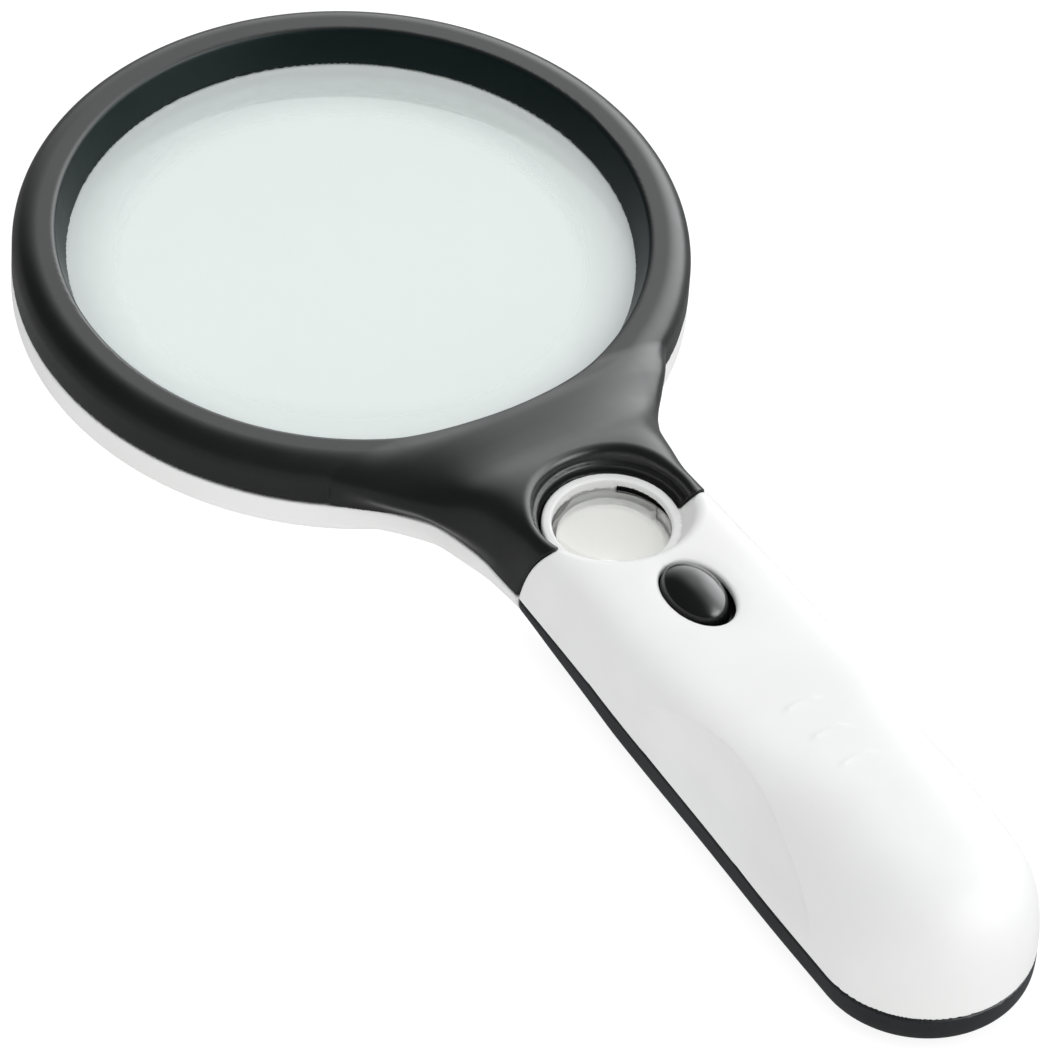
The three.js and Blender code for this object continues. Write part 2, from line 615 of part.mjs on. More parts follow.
function switchCan() {
  const { half, halfWidth, low, high, wall, slot, slotHalf } = CAN;
  return box(SWITCH_X - half, SWITCH_X + half, -halfWidth, halfWidth, low, high)
    .subtract(box(SWITCH_X - half + wall, SWITCH_X + half - wall, -halfWidth + wall, halfWidth - wall,
      low - 1, high - wall))
    .subtract(box(SWITCH_X - slot, SWITCH_X + slot, -slotHalf, slotHalf, low, FAR));
}

function switchSlider() {
  const { half, halfWidth, low, high, knob, knobHalf, top } = SLIDER;
  return box(BUTTON_X - half, BUTTON_X + half, -halfWidth, halfWidth, low, high)
    .add(box(BUTTON_X - knob, BUTTON_X + knob, -knobHalf, knobHalf, low, top));
}

function switchBase() {
  const [half, halfWidth] = SWITCH_BASE;
  const [low, high] = [BOARD.high + SEAM / 2, CAN.low - SEAM / 2];
  return box(SWITCH_X - half, SWITCH_X + half, -halfWidth, halfWidth, low, high);
}

function terminal(index) {
  return post(SWITCH_X + index * TERMINAL.pitch, 0, TERMINAL.radius, TERMINAL.low, BOARD.high, PIN_SEGMENTS);
}

function circuitBoard() {
  let board = box(BOARD.x0, BOARD.x1, -BOARD.half, BOARD.half, BOARD.low, BOARD.high);
  for (const index of [-1, 0, 1]) {
    board = board.subtract(post(SWITCH_X + index * TERMINAL.pitch, 0, TERMINAL.hole, 0, FAR, PIN_SEGMENTS));
  }
  for (const side of [-1, 1]) {
    board = board.subtract(post(BOARD_SCREW[0], side * BOARD_SCREW[1], BOARD_CLEAR, 0, FAR, PIN_SEGMENTS));
  }
  return board;
}

// A small resistor lying under the board on two bent legs.
function resistor() {
  const { at: [x, y, z], half, radius, leg, reach } = RESISTOR;
  let body = rod(x - half, x + half, y, z, radius, 16).add(rod(x - reach, x + reach, y, z, leg, PIN_SEGMENTS));
  for (const side of [-1, 1]) {
    body = body.add(post(x + side * reach, y, leg, z - leg, BOARD.low - SEAM / 2, PIN_SEGMENTS));
  }
  return body;
}

// ---- cells ----

// A cell with its raised end toward +X when facing is 1 and toward -X when it is -1.
function cell(side, facing) {
  const y = side * CELL.y;
  const from = facing > 0 ? BAY[0] + SPRING_ROOM : BAY[0];
  const shell = facing > 0 ? from : from + CELL.nub;
  const nub = facing > 0 ? from + CELL.length - 0.2 : from + 0.05;
  return rod(shell, shell + CELL.length, y, CELL.z, CELL.radius, 24)
    .add(rod(nub, nub + CELL.nub + 0.15, y, CELL.z, CELL.nubRadius, 12));
}

// A moulded cradle: a roof that follows the cells, with a wall at each end.
function batteryCradle() {
  const { x0, x1, top, skirt, skirtHalf, skirtLow, wall, tailWall } = CRADLE;
  const tab = CRADLE_TAB;
  let block = box(x0, x1, -FAR, FAR, skirt, top);
  for (const side of [-1, 1]) {
    block = block.subtract(rod(x0 + wall, x1 - tailWall, side * CELL.y, CELL.z, CELL.radius + CRADLE_GAP));
  }
  block = block.add(box(x0, x0 + wall, -skirtHalf, skirtHalf, skirtLow, skirt + 1))
    .add(box(x1 - tailWall, x1, -skirtHalf, skirtHalf, skirtLow, skirt + 1))
    .add(box(tab.x0, tab.x1, -tab.half, tab.half, tab.low, tab.high))
    .subtract(box(BAY[1], x1 - tailWall, -FAR, FAR, 0, PLATE.high + FIT))
    .intersect(handleRoom(WALL + FIT, HANDLE_START));
  for (const side of [-1, 1]) {
    const y = side * CELL.y;
    const { half, low, high } = CRADLE_NOTCH;
    block = block.subtract(post(CRADLE_SCREW[0], side * CRADLE_SCREW[1], CRADLE_CLEAR, 0, FAR, PIN_SEGMENTS))
      .subtract(box(x0 - 1, x0 + wall + 1, y - half, y + half, low, high));
  }
  return block;
}

// A contact plate standing across X, with a solder tab toward the board.
function headPlate(side) {
  const y = side * CELL.y;
  const { thick, half, low, high, gap } = PLATE;
  const x = BAY[0] - gap - thick;
  const tabHalf = PLATE_TAB.half;
  const tab = box(x - PLATE_TAB.reach, x + thick, y - tabHalf, y + tabHalf, PLATE_TAB.low, PLATE_TAB.high);
  return box(x, x + thick, y - half, y + half, low, high).add(tab);
}

function tailPlate() {
  const { thick, half, low, high, gap } = PLATE;
  const x = BAY[1] + gap;
  return box(x, x + thick, -CELL.y - half, CELL.y + half, low, high);
}

// A conical coil spring along X, wide end first.
function spring(wideEnd, narrowEnd, side) {
  const { turns, wide, narrow, wire: thickness, stepsPerTurn } = SPRING;
  const steps = stepsPerTurn * turns;
  const points = [];
  for (let i = 0; i <= steps; i += 1) {
    const part = i / steps;
    const angle = 2 * Math.PI * turns * part;
    const radius = wide + (narrow - wide) * part;
    const x = wideEnd + (narrowEnd - wideEnd) * part;
    const y = side * CELL.y + radius * Math.cos(angle);
    points.push(new THREE.Vector3(x, y, CELL.z + radius * Math.sin(angle)));
  }
  return wireAlong(points, thickness, steps, 5);
}

// ---- lamps and wires ----

// A round wire along a smooth path.
function wireAlong(points, radius, steps, sides = 6) {
  const shape = new THREE.Shape();
  for (let i = 0; i < sides; i += 1) {
    const angle = 2 * Math.PI * i / sides;
    if (i === 0) shape.moveTo(radius, 0);
    else shape.lineTo(radius * Math.cos(angle), radius * Math.sin(angle));
  }
  const path = new THREE.CatmullRomCurve3(points);
  return solid(new THREE.ExtrudeGeometry(shape, { steps, extrudePath: path }));
}

function wire(points, radius, steps) {
  return wireAlong(points.map(([x, y, z]) => new THREE.Vector3(x, y, z)), radius, steps);
}

// A round lamp lying along X with its domed tip toward the lens, and two legs behind.
function roundLamp() {
  const { tip, back, radius, flangeFrom, flange } = LAMP;
  const dome = new THREE.SphereGeometry(radius, 12, 8);
  dome.translate(tip, 0, LAMP_Z);
  let body = rod(tip, back, 0, LAMP_Z, radius, BOSS_SEGMENTS)
    .add(solid(dome))
    .add(rod(flangeFrom, back, 0, LAMP_Z, flange, BOSS_SEGMENTS));
  for (const side of [-1, 1]) {
    const y = side * LAMP_LEG.y;
    const { from, end, half } = LAMP_LEG;
    body = body.add(box(from, end, y - half, y + half, LAMP_Z - half, LAMP_Z + half));
  }
  return body;
}

// The flat lamp beside the small lens.
function flatLamp() {
  const { near, far, half, low, high } = FLAT_LAMP;
  return box(near, far, -half, half, low, high);
}

const mirrored = (points, side) => points.map(([x, y, z]) => [x, side * y, z]);

function cellWire(side) {
  return wire(CELL_WIRE.map(([x, z]) => [x, side * CELL.y, z]), THIN_WIRE, 14);
}

// ---- assembly ----

const frame = new THREE.Group();

function add(name, body, material, parent = frame) {
  const mesh = new THREE.Mesh(geometryOf(body), material);
  mesh.name = name;
  parent.add(mesh);
  return mesh;
}

// A group turned about an upright line through x, 0.
function turnedGroup(x, degrees) {
  const group = new THREE.Group();
  group.position.x = x;
  group.rotation.z = THREE.MathUtils.degToRad(degrees);
  frame.add(group);
  return group;
}

add('head_front_shell', headFrontShell(), black());
add('head_rear_shell', headRearShell(), white());
add('main_lens', mainLens(), clear());
add('small_lens', smallLens(), clear());
add('handle_front_cover', handleFrontCover(), white());
add('battery_cover', batteryCover(), black());

add('switch_button', switchButton(), black());
add('switch_slider', switchSlider(), black());
add('switch_can', switchCan(), steel());
add('switch_base', switchBase(), brown());
[-1, 0, 1].forEach((index) => add(`switch_terminal_${index + 2}`, terminal(index), brass()));
add('circuit_board', circuitBoard(), green());
add('resistor', resistor(), brown());

add('battery_cradle', batteryCradle(), black());
add('cell_1', cell(1, 1), sleeve());
add('cell_2', cell(-1, -1), sleeve());
add('contact_head_negative', headPlate(1), steel());
add('contact_head_positive', headPlate(-1), steel());
add('contact_tail_bridge', tailPlate(), steel());
add('spring_head', spring(BAY[0] + 0.3, BAY[0] + SPRING_ROOM - 0.3, 1), steel());
add('spring_tail', spring(BAY[1] - 0.3, BAY[1] - SPRING_ROOM + 0.4, -1), steel());

for (const [word, side] of [['left', 1], ['right', -1]]) {
  add(`neck_screw_${word}`, screw(NECK_SCREW, side, NECK_SCREW_SIZE), steel());
  add(`board_screw_${word}`, screw(BOARD_SCREW, side, BOARD_SCREW_SIZE), steel());
  add(`cradle_screw_${word}`, screw(CRADLE_SCREW, side, CRADLE_SCREW_SIZE), steel());
  add(`lamp_main_${word}`, roundLamp(), lamp(), turnedGroup(0, side * LAMP_ANGLE));
  add(`lamp_wire_${word}_red`, wire(mirrored(LAMP_WIRE_LOW, side), WIRE, 18), red());
  add(`lamp_wire_${word}_black`, wire(mirrored(LAMP_WIRE_HIGH, side), WIRE, 18), black());
}
add('lamp_small', flatLamp(), lamp(), turnedGroup(WELL_X, FLAT_LAMP_TURN));
add('lamp_small_wire_red', wire(SMALL_WIRE_LOW, THIN_WIRE, 12), red());
add('lamp_small_wire_black', wire(SMALL_WIRE_HIGH, THIN_WIRE, 12), black());
add('cell_wire_red', cellWire(-1), red());
add('cell_wire_black', cellWire(1), black());

const magnifier = new THREE.Group();
frame.position.x = (RING_OUTER - TAIL_CENTRE - TAIL_RADIUS) / 2;
magnifier.add(frame);

export default magnifier;
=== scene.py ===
"""Looks for the low vision magnifier: smooth shells, lenses, cells, lamps and wires over the CAD frame.

Shapes are worked out in millimetres in the lens frame: x runs along the handle from the axis of the
main lens, y across it and z up from the underside. Each solid is a distance function that is
turned into a mesh, then moved into the row frame in metres.
"""
import math

import bpy
import numpy as np
from mathutils import Matrix, Vector


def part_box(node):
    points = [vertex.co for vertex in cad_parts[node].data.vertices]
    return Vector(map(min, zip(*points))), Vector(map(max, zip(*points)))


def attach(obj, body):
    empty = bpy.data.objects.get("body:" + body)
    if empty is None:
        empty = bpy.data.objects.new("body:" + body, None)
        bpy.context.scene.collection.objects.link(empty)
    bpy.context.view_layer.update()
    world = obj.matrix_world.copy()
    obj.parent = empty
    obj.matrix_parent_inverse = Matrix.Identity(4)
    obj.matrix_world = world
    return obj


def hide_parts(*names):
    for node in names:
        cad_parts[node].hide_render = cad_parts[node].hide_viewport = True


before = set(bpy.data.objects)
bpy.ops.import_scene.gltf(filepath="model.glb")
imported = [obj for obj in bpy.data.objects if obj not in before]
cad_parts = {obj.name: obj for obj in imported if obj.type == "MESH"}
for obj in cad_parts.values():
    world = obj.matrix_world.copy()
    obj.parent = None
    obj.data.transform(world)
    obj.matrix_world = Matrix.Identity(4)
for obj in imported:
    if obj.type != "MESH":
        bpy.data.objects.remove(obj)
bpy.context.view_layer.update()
MM = 1000.0
FINE = 1.0


def mm_box(node):
    """Lowest and highest corner of a CAD node in millimetres, in the row frame."""
    low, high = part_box(node)
    return np.array(low) * MM, np.array(high) * MM


def centre(node):
    low, high = mm_box(node)
    return (low + high) / 2


ORIGIN_X = centre("main_lens")[0]


def lens_x(node):
    """Where a node starts and ends along the handle, in the lens frame."""
    low, high = mm_box(node)
    return low[0] - ORIGIN_X, high[0] - ORIGIN_X


SEAM = 0.1
WALL = 1.6
FIT = 0.3
PARTING = mm_box("battery_cover")[1][2] + SEAM
RING_OUTER = mm_box("head_rear_shell")[1][1]
RING_TOP = 12.4
RING_ROUND = 3.2
RING_FOOT_ROUND = 2.8
RIM_TOP = 38.1
RIM_INNER = 36.5
RIM_SPLAY = 4.6
FOOT_SPLAY = (4.4, 0.4)
SEAT_TOP = 7.5
SEAT_LOW = 5.3
REBATE = 37.8
CHANNEL = (39.2, 42.0)
CHANNEL_TOP = 10.4
NECK_CUT = (33, 36)
NECK_END = 60.9
HANDLE_START = 61.2

WELL_X = centre("small_lens")[0] - ORIGIN_X
WELL_MOUTH, WELL_STEP, WELL_BORE = 10, 9.35, 9.1
WELL_MOUTH_LOW, WELL_STEP_LOW = 14.5, 13.1
WELL_ROOM = 10.1
TUBE_OUTER, TUBE_INNER, TUBE_REBATE = 8.8, 7.5, 8
TUBE_TOP, TUBE_SEAT = 13.6, 12
REAR_TUBE_OUTER, REAR_TUBE_INNER, REAR_TUBE_TOP = 7.7, 6.8, 9.7
COLLAR = 10.6
COVER_EDGE = 10.9
LIGHT_SLOT_TURN = (95.5, 47.5)
LIGHT_SLOT_HEIGHT = (11.4, 1.1)
SMALL_LAMP_TURN = math.radians(75)

LAMP_TURN = math.radians(10)
LAMP_TIP = 37.5
LAMP_HEIGHT = 3.4
NECK_SCREW = (47.5, 10.5)
BOARD_SCREW = (74.6, 7.6)
CRADLE_SCREW = (141.7, 4.3)

TAIL_RADIUS = mm_box("handle_front_cover")[1][1]
TAIL_CENTRE = lens_x("handle_front_cover")[1] - TAIL_RADIUS
HOLLOW_AT = (108, 8)
HOLLOW_HALF = (20.5, 10.4)
HOLLOW_DEPTH = 2.1
THUMB_RIBS = (104, 110, 116)
APERTURE = (81.2, (6.2, 4.05))
BUTTON_X = centre("switch_slider")[0] - ORIGIN_X
BUTTON_TOP = mm_box("switch_button")[1][2]
BUTTON_HALF = (5.35, 3.75)
SWITCH_X = centre("switch_can")[0] - ORIGIN_X
PIN_PITCH = 2.5
CELL_RADIUS = 5.25
CELL_Y, CELL_Z = centre("cell_1")[1:]


# ---- curves along the handle ----


class Curve:
    """A smooth curve through [x, value] pairs, read from a fine table."""

    def __init__(self, *pairs):
        xs, ys = np.array(pairs, float).T
        slope = np.empty(len(xs))
        slope[1:-1] = (ys[2:] - ys[:-2]) / (xs[2:] - xs[:-2])
        slope[0] = (ys[1] - ys[0]) / (xs[1] - xs[0])
        slope[-1] = (ys[-1] - ys[-2]) / (xs[-1] - xs[-2])
        self.at = np.linspace(xs[0], xs[-1], 1200)
        k = np.clip(np.searchsorted(xs, self.at, side="right") - 1, 0, len(xs) - 2)
        span = xs[k + 1] - xs[k]
        t = (self.at - xs[k]) / span
        rise = ys[k + 1] - ys[k]
        a, b = slope[k] * span, slope[k + 1] * span
        self.value = ys[k] + a * t + (3 * rise - 2 * a - b) * t**2 + (a + b - 2 * rise) * t**3
        self.rate = np.gradient(self.value, self.at)

    def __call__(self, x):
        return np.interp(x, self.at, self.value)

    def slope(self, x):
        return np.interp(x, self.at, self.rate, left=0.0, right=0.0)


NECK_HALF = Curve((36, 24.4), (37.5, 22.5), (39.8, 19.8), (42.6, 17.2), (45.1, 15.3), (48.5, 14.1),
                  (53.3, 13.1), (57.6, 12.9), (61.2, 12.75), (67, 12.8))
NECK_TOP = Curve((36, 11.2), (38.5, 11.5), (41, 12), (44, 13.1), (47, 14.6), (50, 15.9), (53, 16.7),
                 (56.5, 17), (60, 17.1), (67, 17.7))
NECK_SQUARE = Curve((40, 3), (48, 4), (55, 5.5), (61.5, 6.5))
NECK_FLARE = Curve((36, 0.6), (39, 1.8), (42, 2.9), (44.5, 3), (47, 2.4), (50.7, 1.5), (54.9, 0.8),
                   (58, 0.2), (61, 0), (67, 0))
HANDLE_HALF = Curve((61.2, 12.75), (74, 12.9), (89, 13.3), (105, 13.5), (120, 13.85),
                    (132.8, TAIL_RADIUS))
HANDLE_TOP = Curve((60, 17.1), (67, 17.7), (81, 18.5), (95, 19), (103, 19.5), (112, 20.6),
                   (120, 21.7), (126, 22.1), (132.8, 21.8))
HANDLE_SQUARE = Curve((61.5, 6.5), (81, 6.2), (92, 5.6), (103, 4.9), (112, 3.8), (120, 3.2),
                      (132.8, 2.8), (146, 2.6))
UNDER_SQUARE = Curve((47, 4.4), (51, 3.9), (56, 3), (61, 2.5), (70, 3.2), (84, 4.4))


# ---- distance functions ----


def ramp(t):
    """A smooth step from nought to one as t goes from nought to one."""
    t = np.clip(t, 0, 1)
    return t * t * (3 - 2 * t)


def smooth_min(a, b, k):
    h = np.maximum(k - np.abs(a - b), 0) / k
    return np.minimum(a, b) - h * h * k / 4


def round_and(a, b, r):
    """Both solids at once, with a rounded edge of radius r."""
    return np.minimum(np.maximum(a, b), -r) + np.hypot(np.maximum(a + r, 0), np.maximum(b + r, 0))


def cut(a, b, r=0.0):
    """a with b taken away, the new edges rounded by r."""
    return round_and(a, -b, r) if r else np.maximum(a, -b)


def join(a, b, k=0.0):
    return smooth_min(a, b, k) if k else np.minimum(a, b)


def block(x, y, z, low, high, r=0.0):
    """A box from low to high with edges rounded by r."""
    mid = [(a + b) / 2 for a, b in zip(low, high)]
    half = [(b - a) / 2 - r for a, b in zip(low, high)]
    q = [np.abs(p - m) - h for p, m, h in zip((x, y, z), mid, half)]
    outside = np.sqrt(sum(np.maximum(part, 0) ** 2 for part in q))
    return outside + np.minimum(np.maximum(np.maximum(q[0], q[1]), q[2]), 0) - r


def disc(distance, z, low, high, r=0.0):
    """An upright prism over a flat distance, between two heights."""
    height = np.abs(z - (low + high) / 2) - (high - low) / 2
    return round_and(distance, height, r) if r else np.maximum(distance, height)


def post(x, y, z, at, radius, low, high, r=0.0):
    return disc(np.hypot(x - at[0], y - at[1]) - radius, z, low, high, r)


def squarish(reach, half, half_rate, height, height_rate, z, n, plan_turn):
    """Distance to a body whose cross-sections are rounded rectangles.

    reach is the share of the half-width used up, and plan_turn how steeply that grows.
    """
    lift = np.abs(z) / height
    total = (reach**n + lift**n) ** (1 / n) + 1e-9
    wide = (reach / total) ** (n - 1)
    tall = (lift / total) ** (n - 1)
    along = wide * reach * half_rate / half + tall * lift * height_rate / height
    steep = np.sqrt((wide * plan_turn) ** 2 + (tall / height) ** 2 + along**2)
    return (total - 1) / np.maximum(steep, 0.02)


def grip(x, z, reach, half, half_rate, top, upper_square, inset):
    """A squarish body round the parting plane, with its own top and corners above that plane."""
    upper = z > PARTING
    height = np.where(upper, top(x), 2 * PARTING) - PARTING - inset
    rate = np.where(upper, top.slope(x), 0.0)
    square = np.where(upper, upper_square(x), UNDER_SQUARE(x))
    return squarish(reach, half, half_rate, height, rate, z - PARTING, square, 1 / half)


def neck(x, y, z, inset=0.0):
    half = NECK_HALF(x) + NECK_FLARE(x) * ramp((z - PARTING) / 4) - inset
    return grip(x, z, np.abs(y) / half, half, NECK_HALF.slope(x), NECK_TOP, NECK_SQUARE, inset)


def handle(x, y, z, inset=0.0):
    half = HANDLE_HALF(x) - inset
    tail = np.maximum(x - TAIL_CENTRE, 0) / (TAIL_RADIUS - inset)
    reach = np.hypot(tail, y / half)
    return grip(x, z, reach, half, HANDLE_HALF.slope(x), HANDLE_TOP, HANDLE_SQUARE, inset)


def seam(x, z):
    """Below zero on the neck's side of the seam that leans back as it rises."""
    t = np.clip(z - PARTING, 0, 14)
    return (x - (61 + 0.2 * t + 0.0175 * t * t)) / np.sqrt(1 + (0.2 + 0.035 * t) ** 2)


def well_radius(x, y):
    return np.hypot(x - WELL_X, y)


def turned_by(turn, x, y):
    """Distance along and aside of a line at an angle to the handle."""
    return x * math.cos(turn) + y * math.sin(turn), y * math.cos(turn) - x * math.sin(turn)


# ---- meshing ----


def surface(field, low, high, step):
    """Points and quads on the zero surface of a field, inside the box from low to high.

    The field is first read on a coarse grid, then finely in the blocks that lie near the surface.
    """
    low = np.array(low, float) - 2 * step
    count = np.ceil((np.array(high, float) + 2 * step - low) / step).astype(int) + 1
    coarse = 6
    blocks = np.ceil(count / coarse).astype(int)
    count = blocks * coarse
    mids = [low[a] + (np.arange(blocks[a]) * coarse + (coarse - 1) / 2) * step for a in range(3)]
    rough = field(*[g.ravel() for g in np.meshgrid(*mids, indexing="ij")]).reshape(blocks)
    near = np.abs(rough) < coarse * step * 1.25 + 0.8
    for axis in range(3):
        rough, near = rough.repeat(coarse, axis), near.repeat(coarse, axis)
    values = rough.astype(np.float32)
    i, j, k = np.nonzero(near)
    chunk = 1500000
    for start in range(0, len(i), chunk):
        part = slice(start, start + chunk)
        a, b, c = i[part], j[part], k[part]
        values[a, b, c] = field(low[0] + a * step, low[1] + b * step, low[2] + c * step)
    inside = values < 0
    corner = sum(inside[dx:count[0] - 1 + dx, dy:count[1] - 1 + dy, dz:count[2] - 1 + dz].astype(np.int8)
                 for dx in (0, 1) for dy in (0, 1) for dz in (0, 1))
    cells = np.argwhere((corner > 0) & (corner < 8))
    number = -np.ones(np.array(count) - 1, np.int64)
    number[tuple(cells.T)] = np.arange(len(cells))
    total = np.zeros((len(cells), 3))
    hits = np.zeros(len(cells))
    for axis in range(3):
        others = [a for a in range(3) if a != axis]
        for da in (0, 1):
            for db in (0, 1):
                start = cells.copy()
                start[:, others[0]] += da
                start[:, others[1]] += db
                end = start.copy()
                end[:, axis] += 1
                va = values[tuple(start.T)].astype(float)
                vb = values[tuple(end.T)].astype(float)
                crossed = (va < 0) != (vb < 0)
                t = va[crossed] / (va[crossed] - vb[crossed])
                point = start[crossed].astype(float)
                point[:, axis] += t
                total[crossed] += point
                hits[crossed] += 1
    points = low + total / hits[:, None] * step
    quads = []
    for axis in range(3):
        u, v = [(1, 2), (2, 0), (0, 1)][axis]
        edge = np.argwhere(np.diff(inside, axis=axis))
        edge = edge[(edge[:, u] > 0) & (edge[:, v] > 0)
                    & (edge[:, u] < count[u] - 1) & (edge[:, v] < count[v] - 1)]
        outward = inside[tuple(edge.T)]
        ring = []
        for du, dv in ((-1, -1), (0, -1), (0, 0), (-1, 0)):
            cell = edge.copy()
            cell[:, u] += du
            cell[:, v] += dv
            ring.append(number[tuple(cell.T)])
        quad = np.stack(ring, 1)
        quads.append(np.where(outward[:, None], quad, quad[:, ::-1]))
    return points, np.concatenate(quads)


def gradient(field, points, reach=0.02):
    slopes = []
    for axis in range(3):
        shift = np.zeros(3)
        shift[axis] = reach
        ahead, behind = points + shift, points - shift
        slopes.append((field(*ahead.T) - field(*behind.T)) / (2 * reach))
    return np.stack(slopes, 1)


def settle(field, points, step, rounds=3):
    """Moves points onto the surface and returns them with their outward normals."""
    for _ in range(rounds):
        slope = gradient(field, points)
        size = np.maximum((slope**2).sum(1), 0.05)
        move = slope * (field(*points.T) / size)[:, None]
        length = np.linalg.norm(move, axis=1, keepdims=True)
        points = points - move * np.minimum(1, 0.45 * step / np.maximum(length, 1e-9))
    slope = gradient(field, points, 0.05)
    return points, slope / np.maximum(np.linalg.norm(slope, axis=1, keepdims=True), 1e-9)


def make_mesh(node, points, faces, normals=None):
    """A mesh object from points in the lens frame in millimetres."""
    moved = (points + np.array([ORIGIN_X, 0, 0])) / MM
    name = f"vis_{node}"
    mesh = bpy.data.meshes.new(name)
    mesh.from_pydata(moved.tolist(), [], faces.tolist() if isinstance(faces, np.ndarray) else faces)
    mesh.polygons.foreach_set("use_smooth", [True] * len(mesh.polygons))
    if normals is not None:
        mesh.normals_split_custom_set_from_vertices(normals.tolist())
    mesh.update()
    piece = bpy.data.objects.new(name, mesh)
    bpy.context.scene.collection.objects.link(piece)
    return piece


def carve(node, field, low, high, step):
    points, quads = surface(field, low, high, step * FINE)
    points, normals = settle(field, points, step * FINE)
    return make_mesh(node, points, quads, normals)


def place(piece, look, body="magnifier"):
    """Gives a piece its material and body, and lets it stand in for the CAD node it is named after."""
    slot, material = look
    piece.data.materials.append(material)
    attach(piece, body)
    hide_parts(piece.name.removeprefix("vis_"))


# ---- shells ----


def neck_room(x, y, z):
    """The hollow inside the neck, kept clear of the ring and of the wall round the well."""
    room = np.maximum(neck(x, y, z, WALL), RING_OUTER + WALL - np.hypot(x, y))
    return cut(room, np.maximum(well_radius(x, y) - WELL_ROOM - WALL, 9.4 - z))


def wire_channel(r):
    """The ring-shaped groove for the lamps and their wires."""
    return np.maximum(CHANNEL[0] - r, r - CHANNEL[1])


def wire_passage(x, y, z):
    """The gap that lets the lamp wires out of the channel in the ring into the neck."""
    low, high = (RIM_INNER, -9.2, WALL), (46.5, 9.2, 9.4)
    return np.maximum(block(x, y, z, low, high), CHANNEL[0] - np.hypot(x, y))


def head_blank(x, y, z):
    """Ring and neck in one, with a hollow curve between them that grows toward the top."""
    ring = round_and(np.hypot(x, y) - RING_OUTER, z - RING_TOP, RING_ROUND)
    stem = np.maximum(neck(x, y, z), NECK_CUT[0] - x)
    soft = (3 + 6 * ramp((z - 6.5) / 5)) * np.maximum(ramp((x - NECK_CUT[0]) / 8), 0.01)
    return smooth_min(ring, stem, soft)


def head_front(x, y, z):
    r = np.hypot(x, y)
    rw = well_radius(x, y)
    bore = RIM_INNER + np.clip(z - SEAT_TOP, 0, None) * (RIM_TOP - RIM_INNER) / RIM_SPLAY - r
    body = round_and(head_blank(x, y, z), bore, 0.45)
    body = cut(body, round_and(rw - WELL_MOUTH, WELL_MOUTH_LOW - z, 0.3), 1.3)
    body = round_and(body, seam(x, z) + SEAM, 0.3)
    body = round_and(body, PARTING + SEAM - z, 0.18)
    body = cut(body, neck_room(x, y, z))
    body = cut(body, round_and(rw - WELL_STEP, WELL_STEP_LOW - z, 0.25), 0.35)
    body = cut(body, rw - WELL_BORE, 0.2)
    body = cut(body, np.maximum(r - REBATE, z - SEAT_TOP), 0.25)
    body = cut(body, np.maximum(wire_channel(r), z - CHANNEL_TOP))
    body = cut(body, wire_passage(x, y, z))
    stud = post(x, np.abs(y), z, NECK_SCREW, 2.3, PARTING + SEAM, 11.8)
    body = join(body, stud, 0.3)
    return cut(body, post(x, np.abs(y), z, NECK_SCREW, 1.0, 0, 10.4))


def head_rear(x, y, z):
    r = np.hypot(x, y)
    rw = well_radius(x, y)
    ring = round_and(r - RING_OUTER, -z, RING_FOOT_ROUND)
    stem = np.maximum(np.maximum(neck(x, y, z), NECK_CUT[1] - x), x - NECK_END)
    inner = RIM_INNER + np.clip(FOOT_SPLAY[0] - z, 0, None) * FOOT_SPLAY[1] - r
    body = round_and(smooth_min(ring, stem, 1.2 * np.clip((x - 39) / 5, 0.02, 1)), inner, 0.5)
    body = cut(body, neck_room(x, y, z))
    body = cut(body, np.maximum(wire_channel(r), WALL - z))
    body = cut(body, wire_passage(x, y, z))
    body = join(body, disc(rw - COLLAR, z, 0, WALL, 0.3), 0.2)
    body = join(body, disc(rw - REAR_TUBE_OUTER, z, 0, REAR_TUBE_TOP, 0.25), 0.25)
    across = np.abs(y)
    boss = np.maximum(post(x, across, z, NECK_SCREW, 2.7, 0.8, PARTING - SEAM), neck(x, y, z, 0.4))
    body = join(body, boss, 0.3)
    body = cut(body, post(x, across, z, NECK_SCREW, 2.1, -2, 2.5), 0.25)
    body = cut(body, np.hypot(x - NECK_SCREW[0], across - NECK_SCREW[1]) - 1.1, 0.1)
    body = cut(body, rw - REAR_TUBE_INNER, 0.3)
    along, aside = turned_by(LAMP_TURN, x, across)
    lamp_hole = np.maximum(np.hypot(aside, z - LAMP_HEIGHT) - 1.7, np.abs(along - LAMP_TIP) - 3)
    body = cut(body, lamp_hole, 0.15)
    body = cut(body, np.maximum(r - REBATE, SEAT_LOW - z))
    return cut(body, np.maximum(PARTING - SEAM - z, REAR_TUBE_OUTER + SEAM - rw), 0.18)


def finger_hollow(x, y, z):
    """How deep the flank is pressed in for the fingers: an oval dish with a crease for an edge."""
    reach = ((x - HOLLOW_AT[0]) / HOLLOW_HALF[0]) ** 2 + ((z - HOLLOW_AT[1]) / HOLLOW_HALF[1]) ** 2
    inside = (1 - reach + np.hypot(1 - reach, 0.03)) / 2
    ease = 0.008
    depth = HOLLOW_DEPTH * (np.sqrt(inside + ease) - np.sqrt(ease)) * (reach < 1.4)
    return depth * ramp((z - PARTING - 0.3) / 6) * ramp((x - 88) / 14) * ramp((np.abs(y) - 5) / 4)


def thumb_ribs(x, y, z):
    """Three low curved ridges across the top."""
    rise = np.zeros(np.shape(x))
    for at in THUMB_RIBS:
        bow = np.hypot(x - at - 7, y) - 7
        ends = np.clip((3.4 - np.abs(y)) / 1.6, 0, 1)
        rise = rise + np.exp(-((bow / 0.45) ** 2)) * ends * ends * (x < at + 5)
    return 0.17 * rise * (z > PARTING + 8)


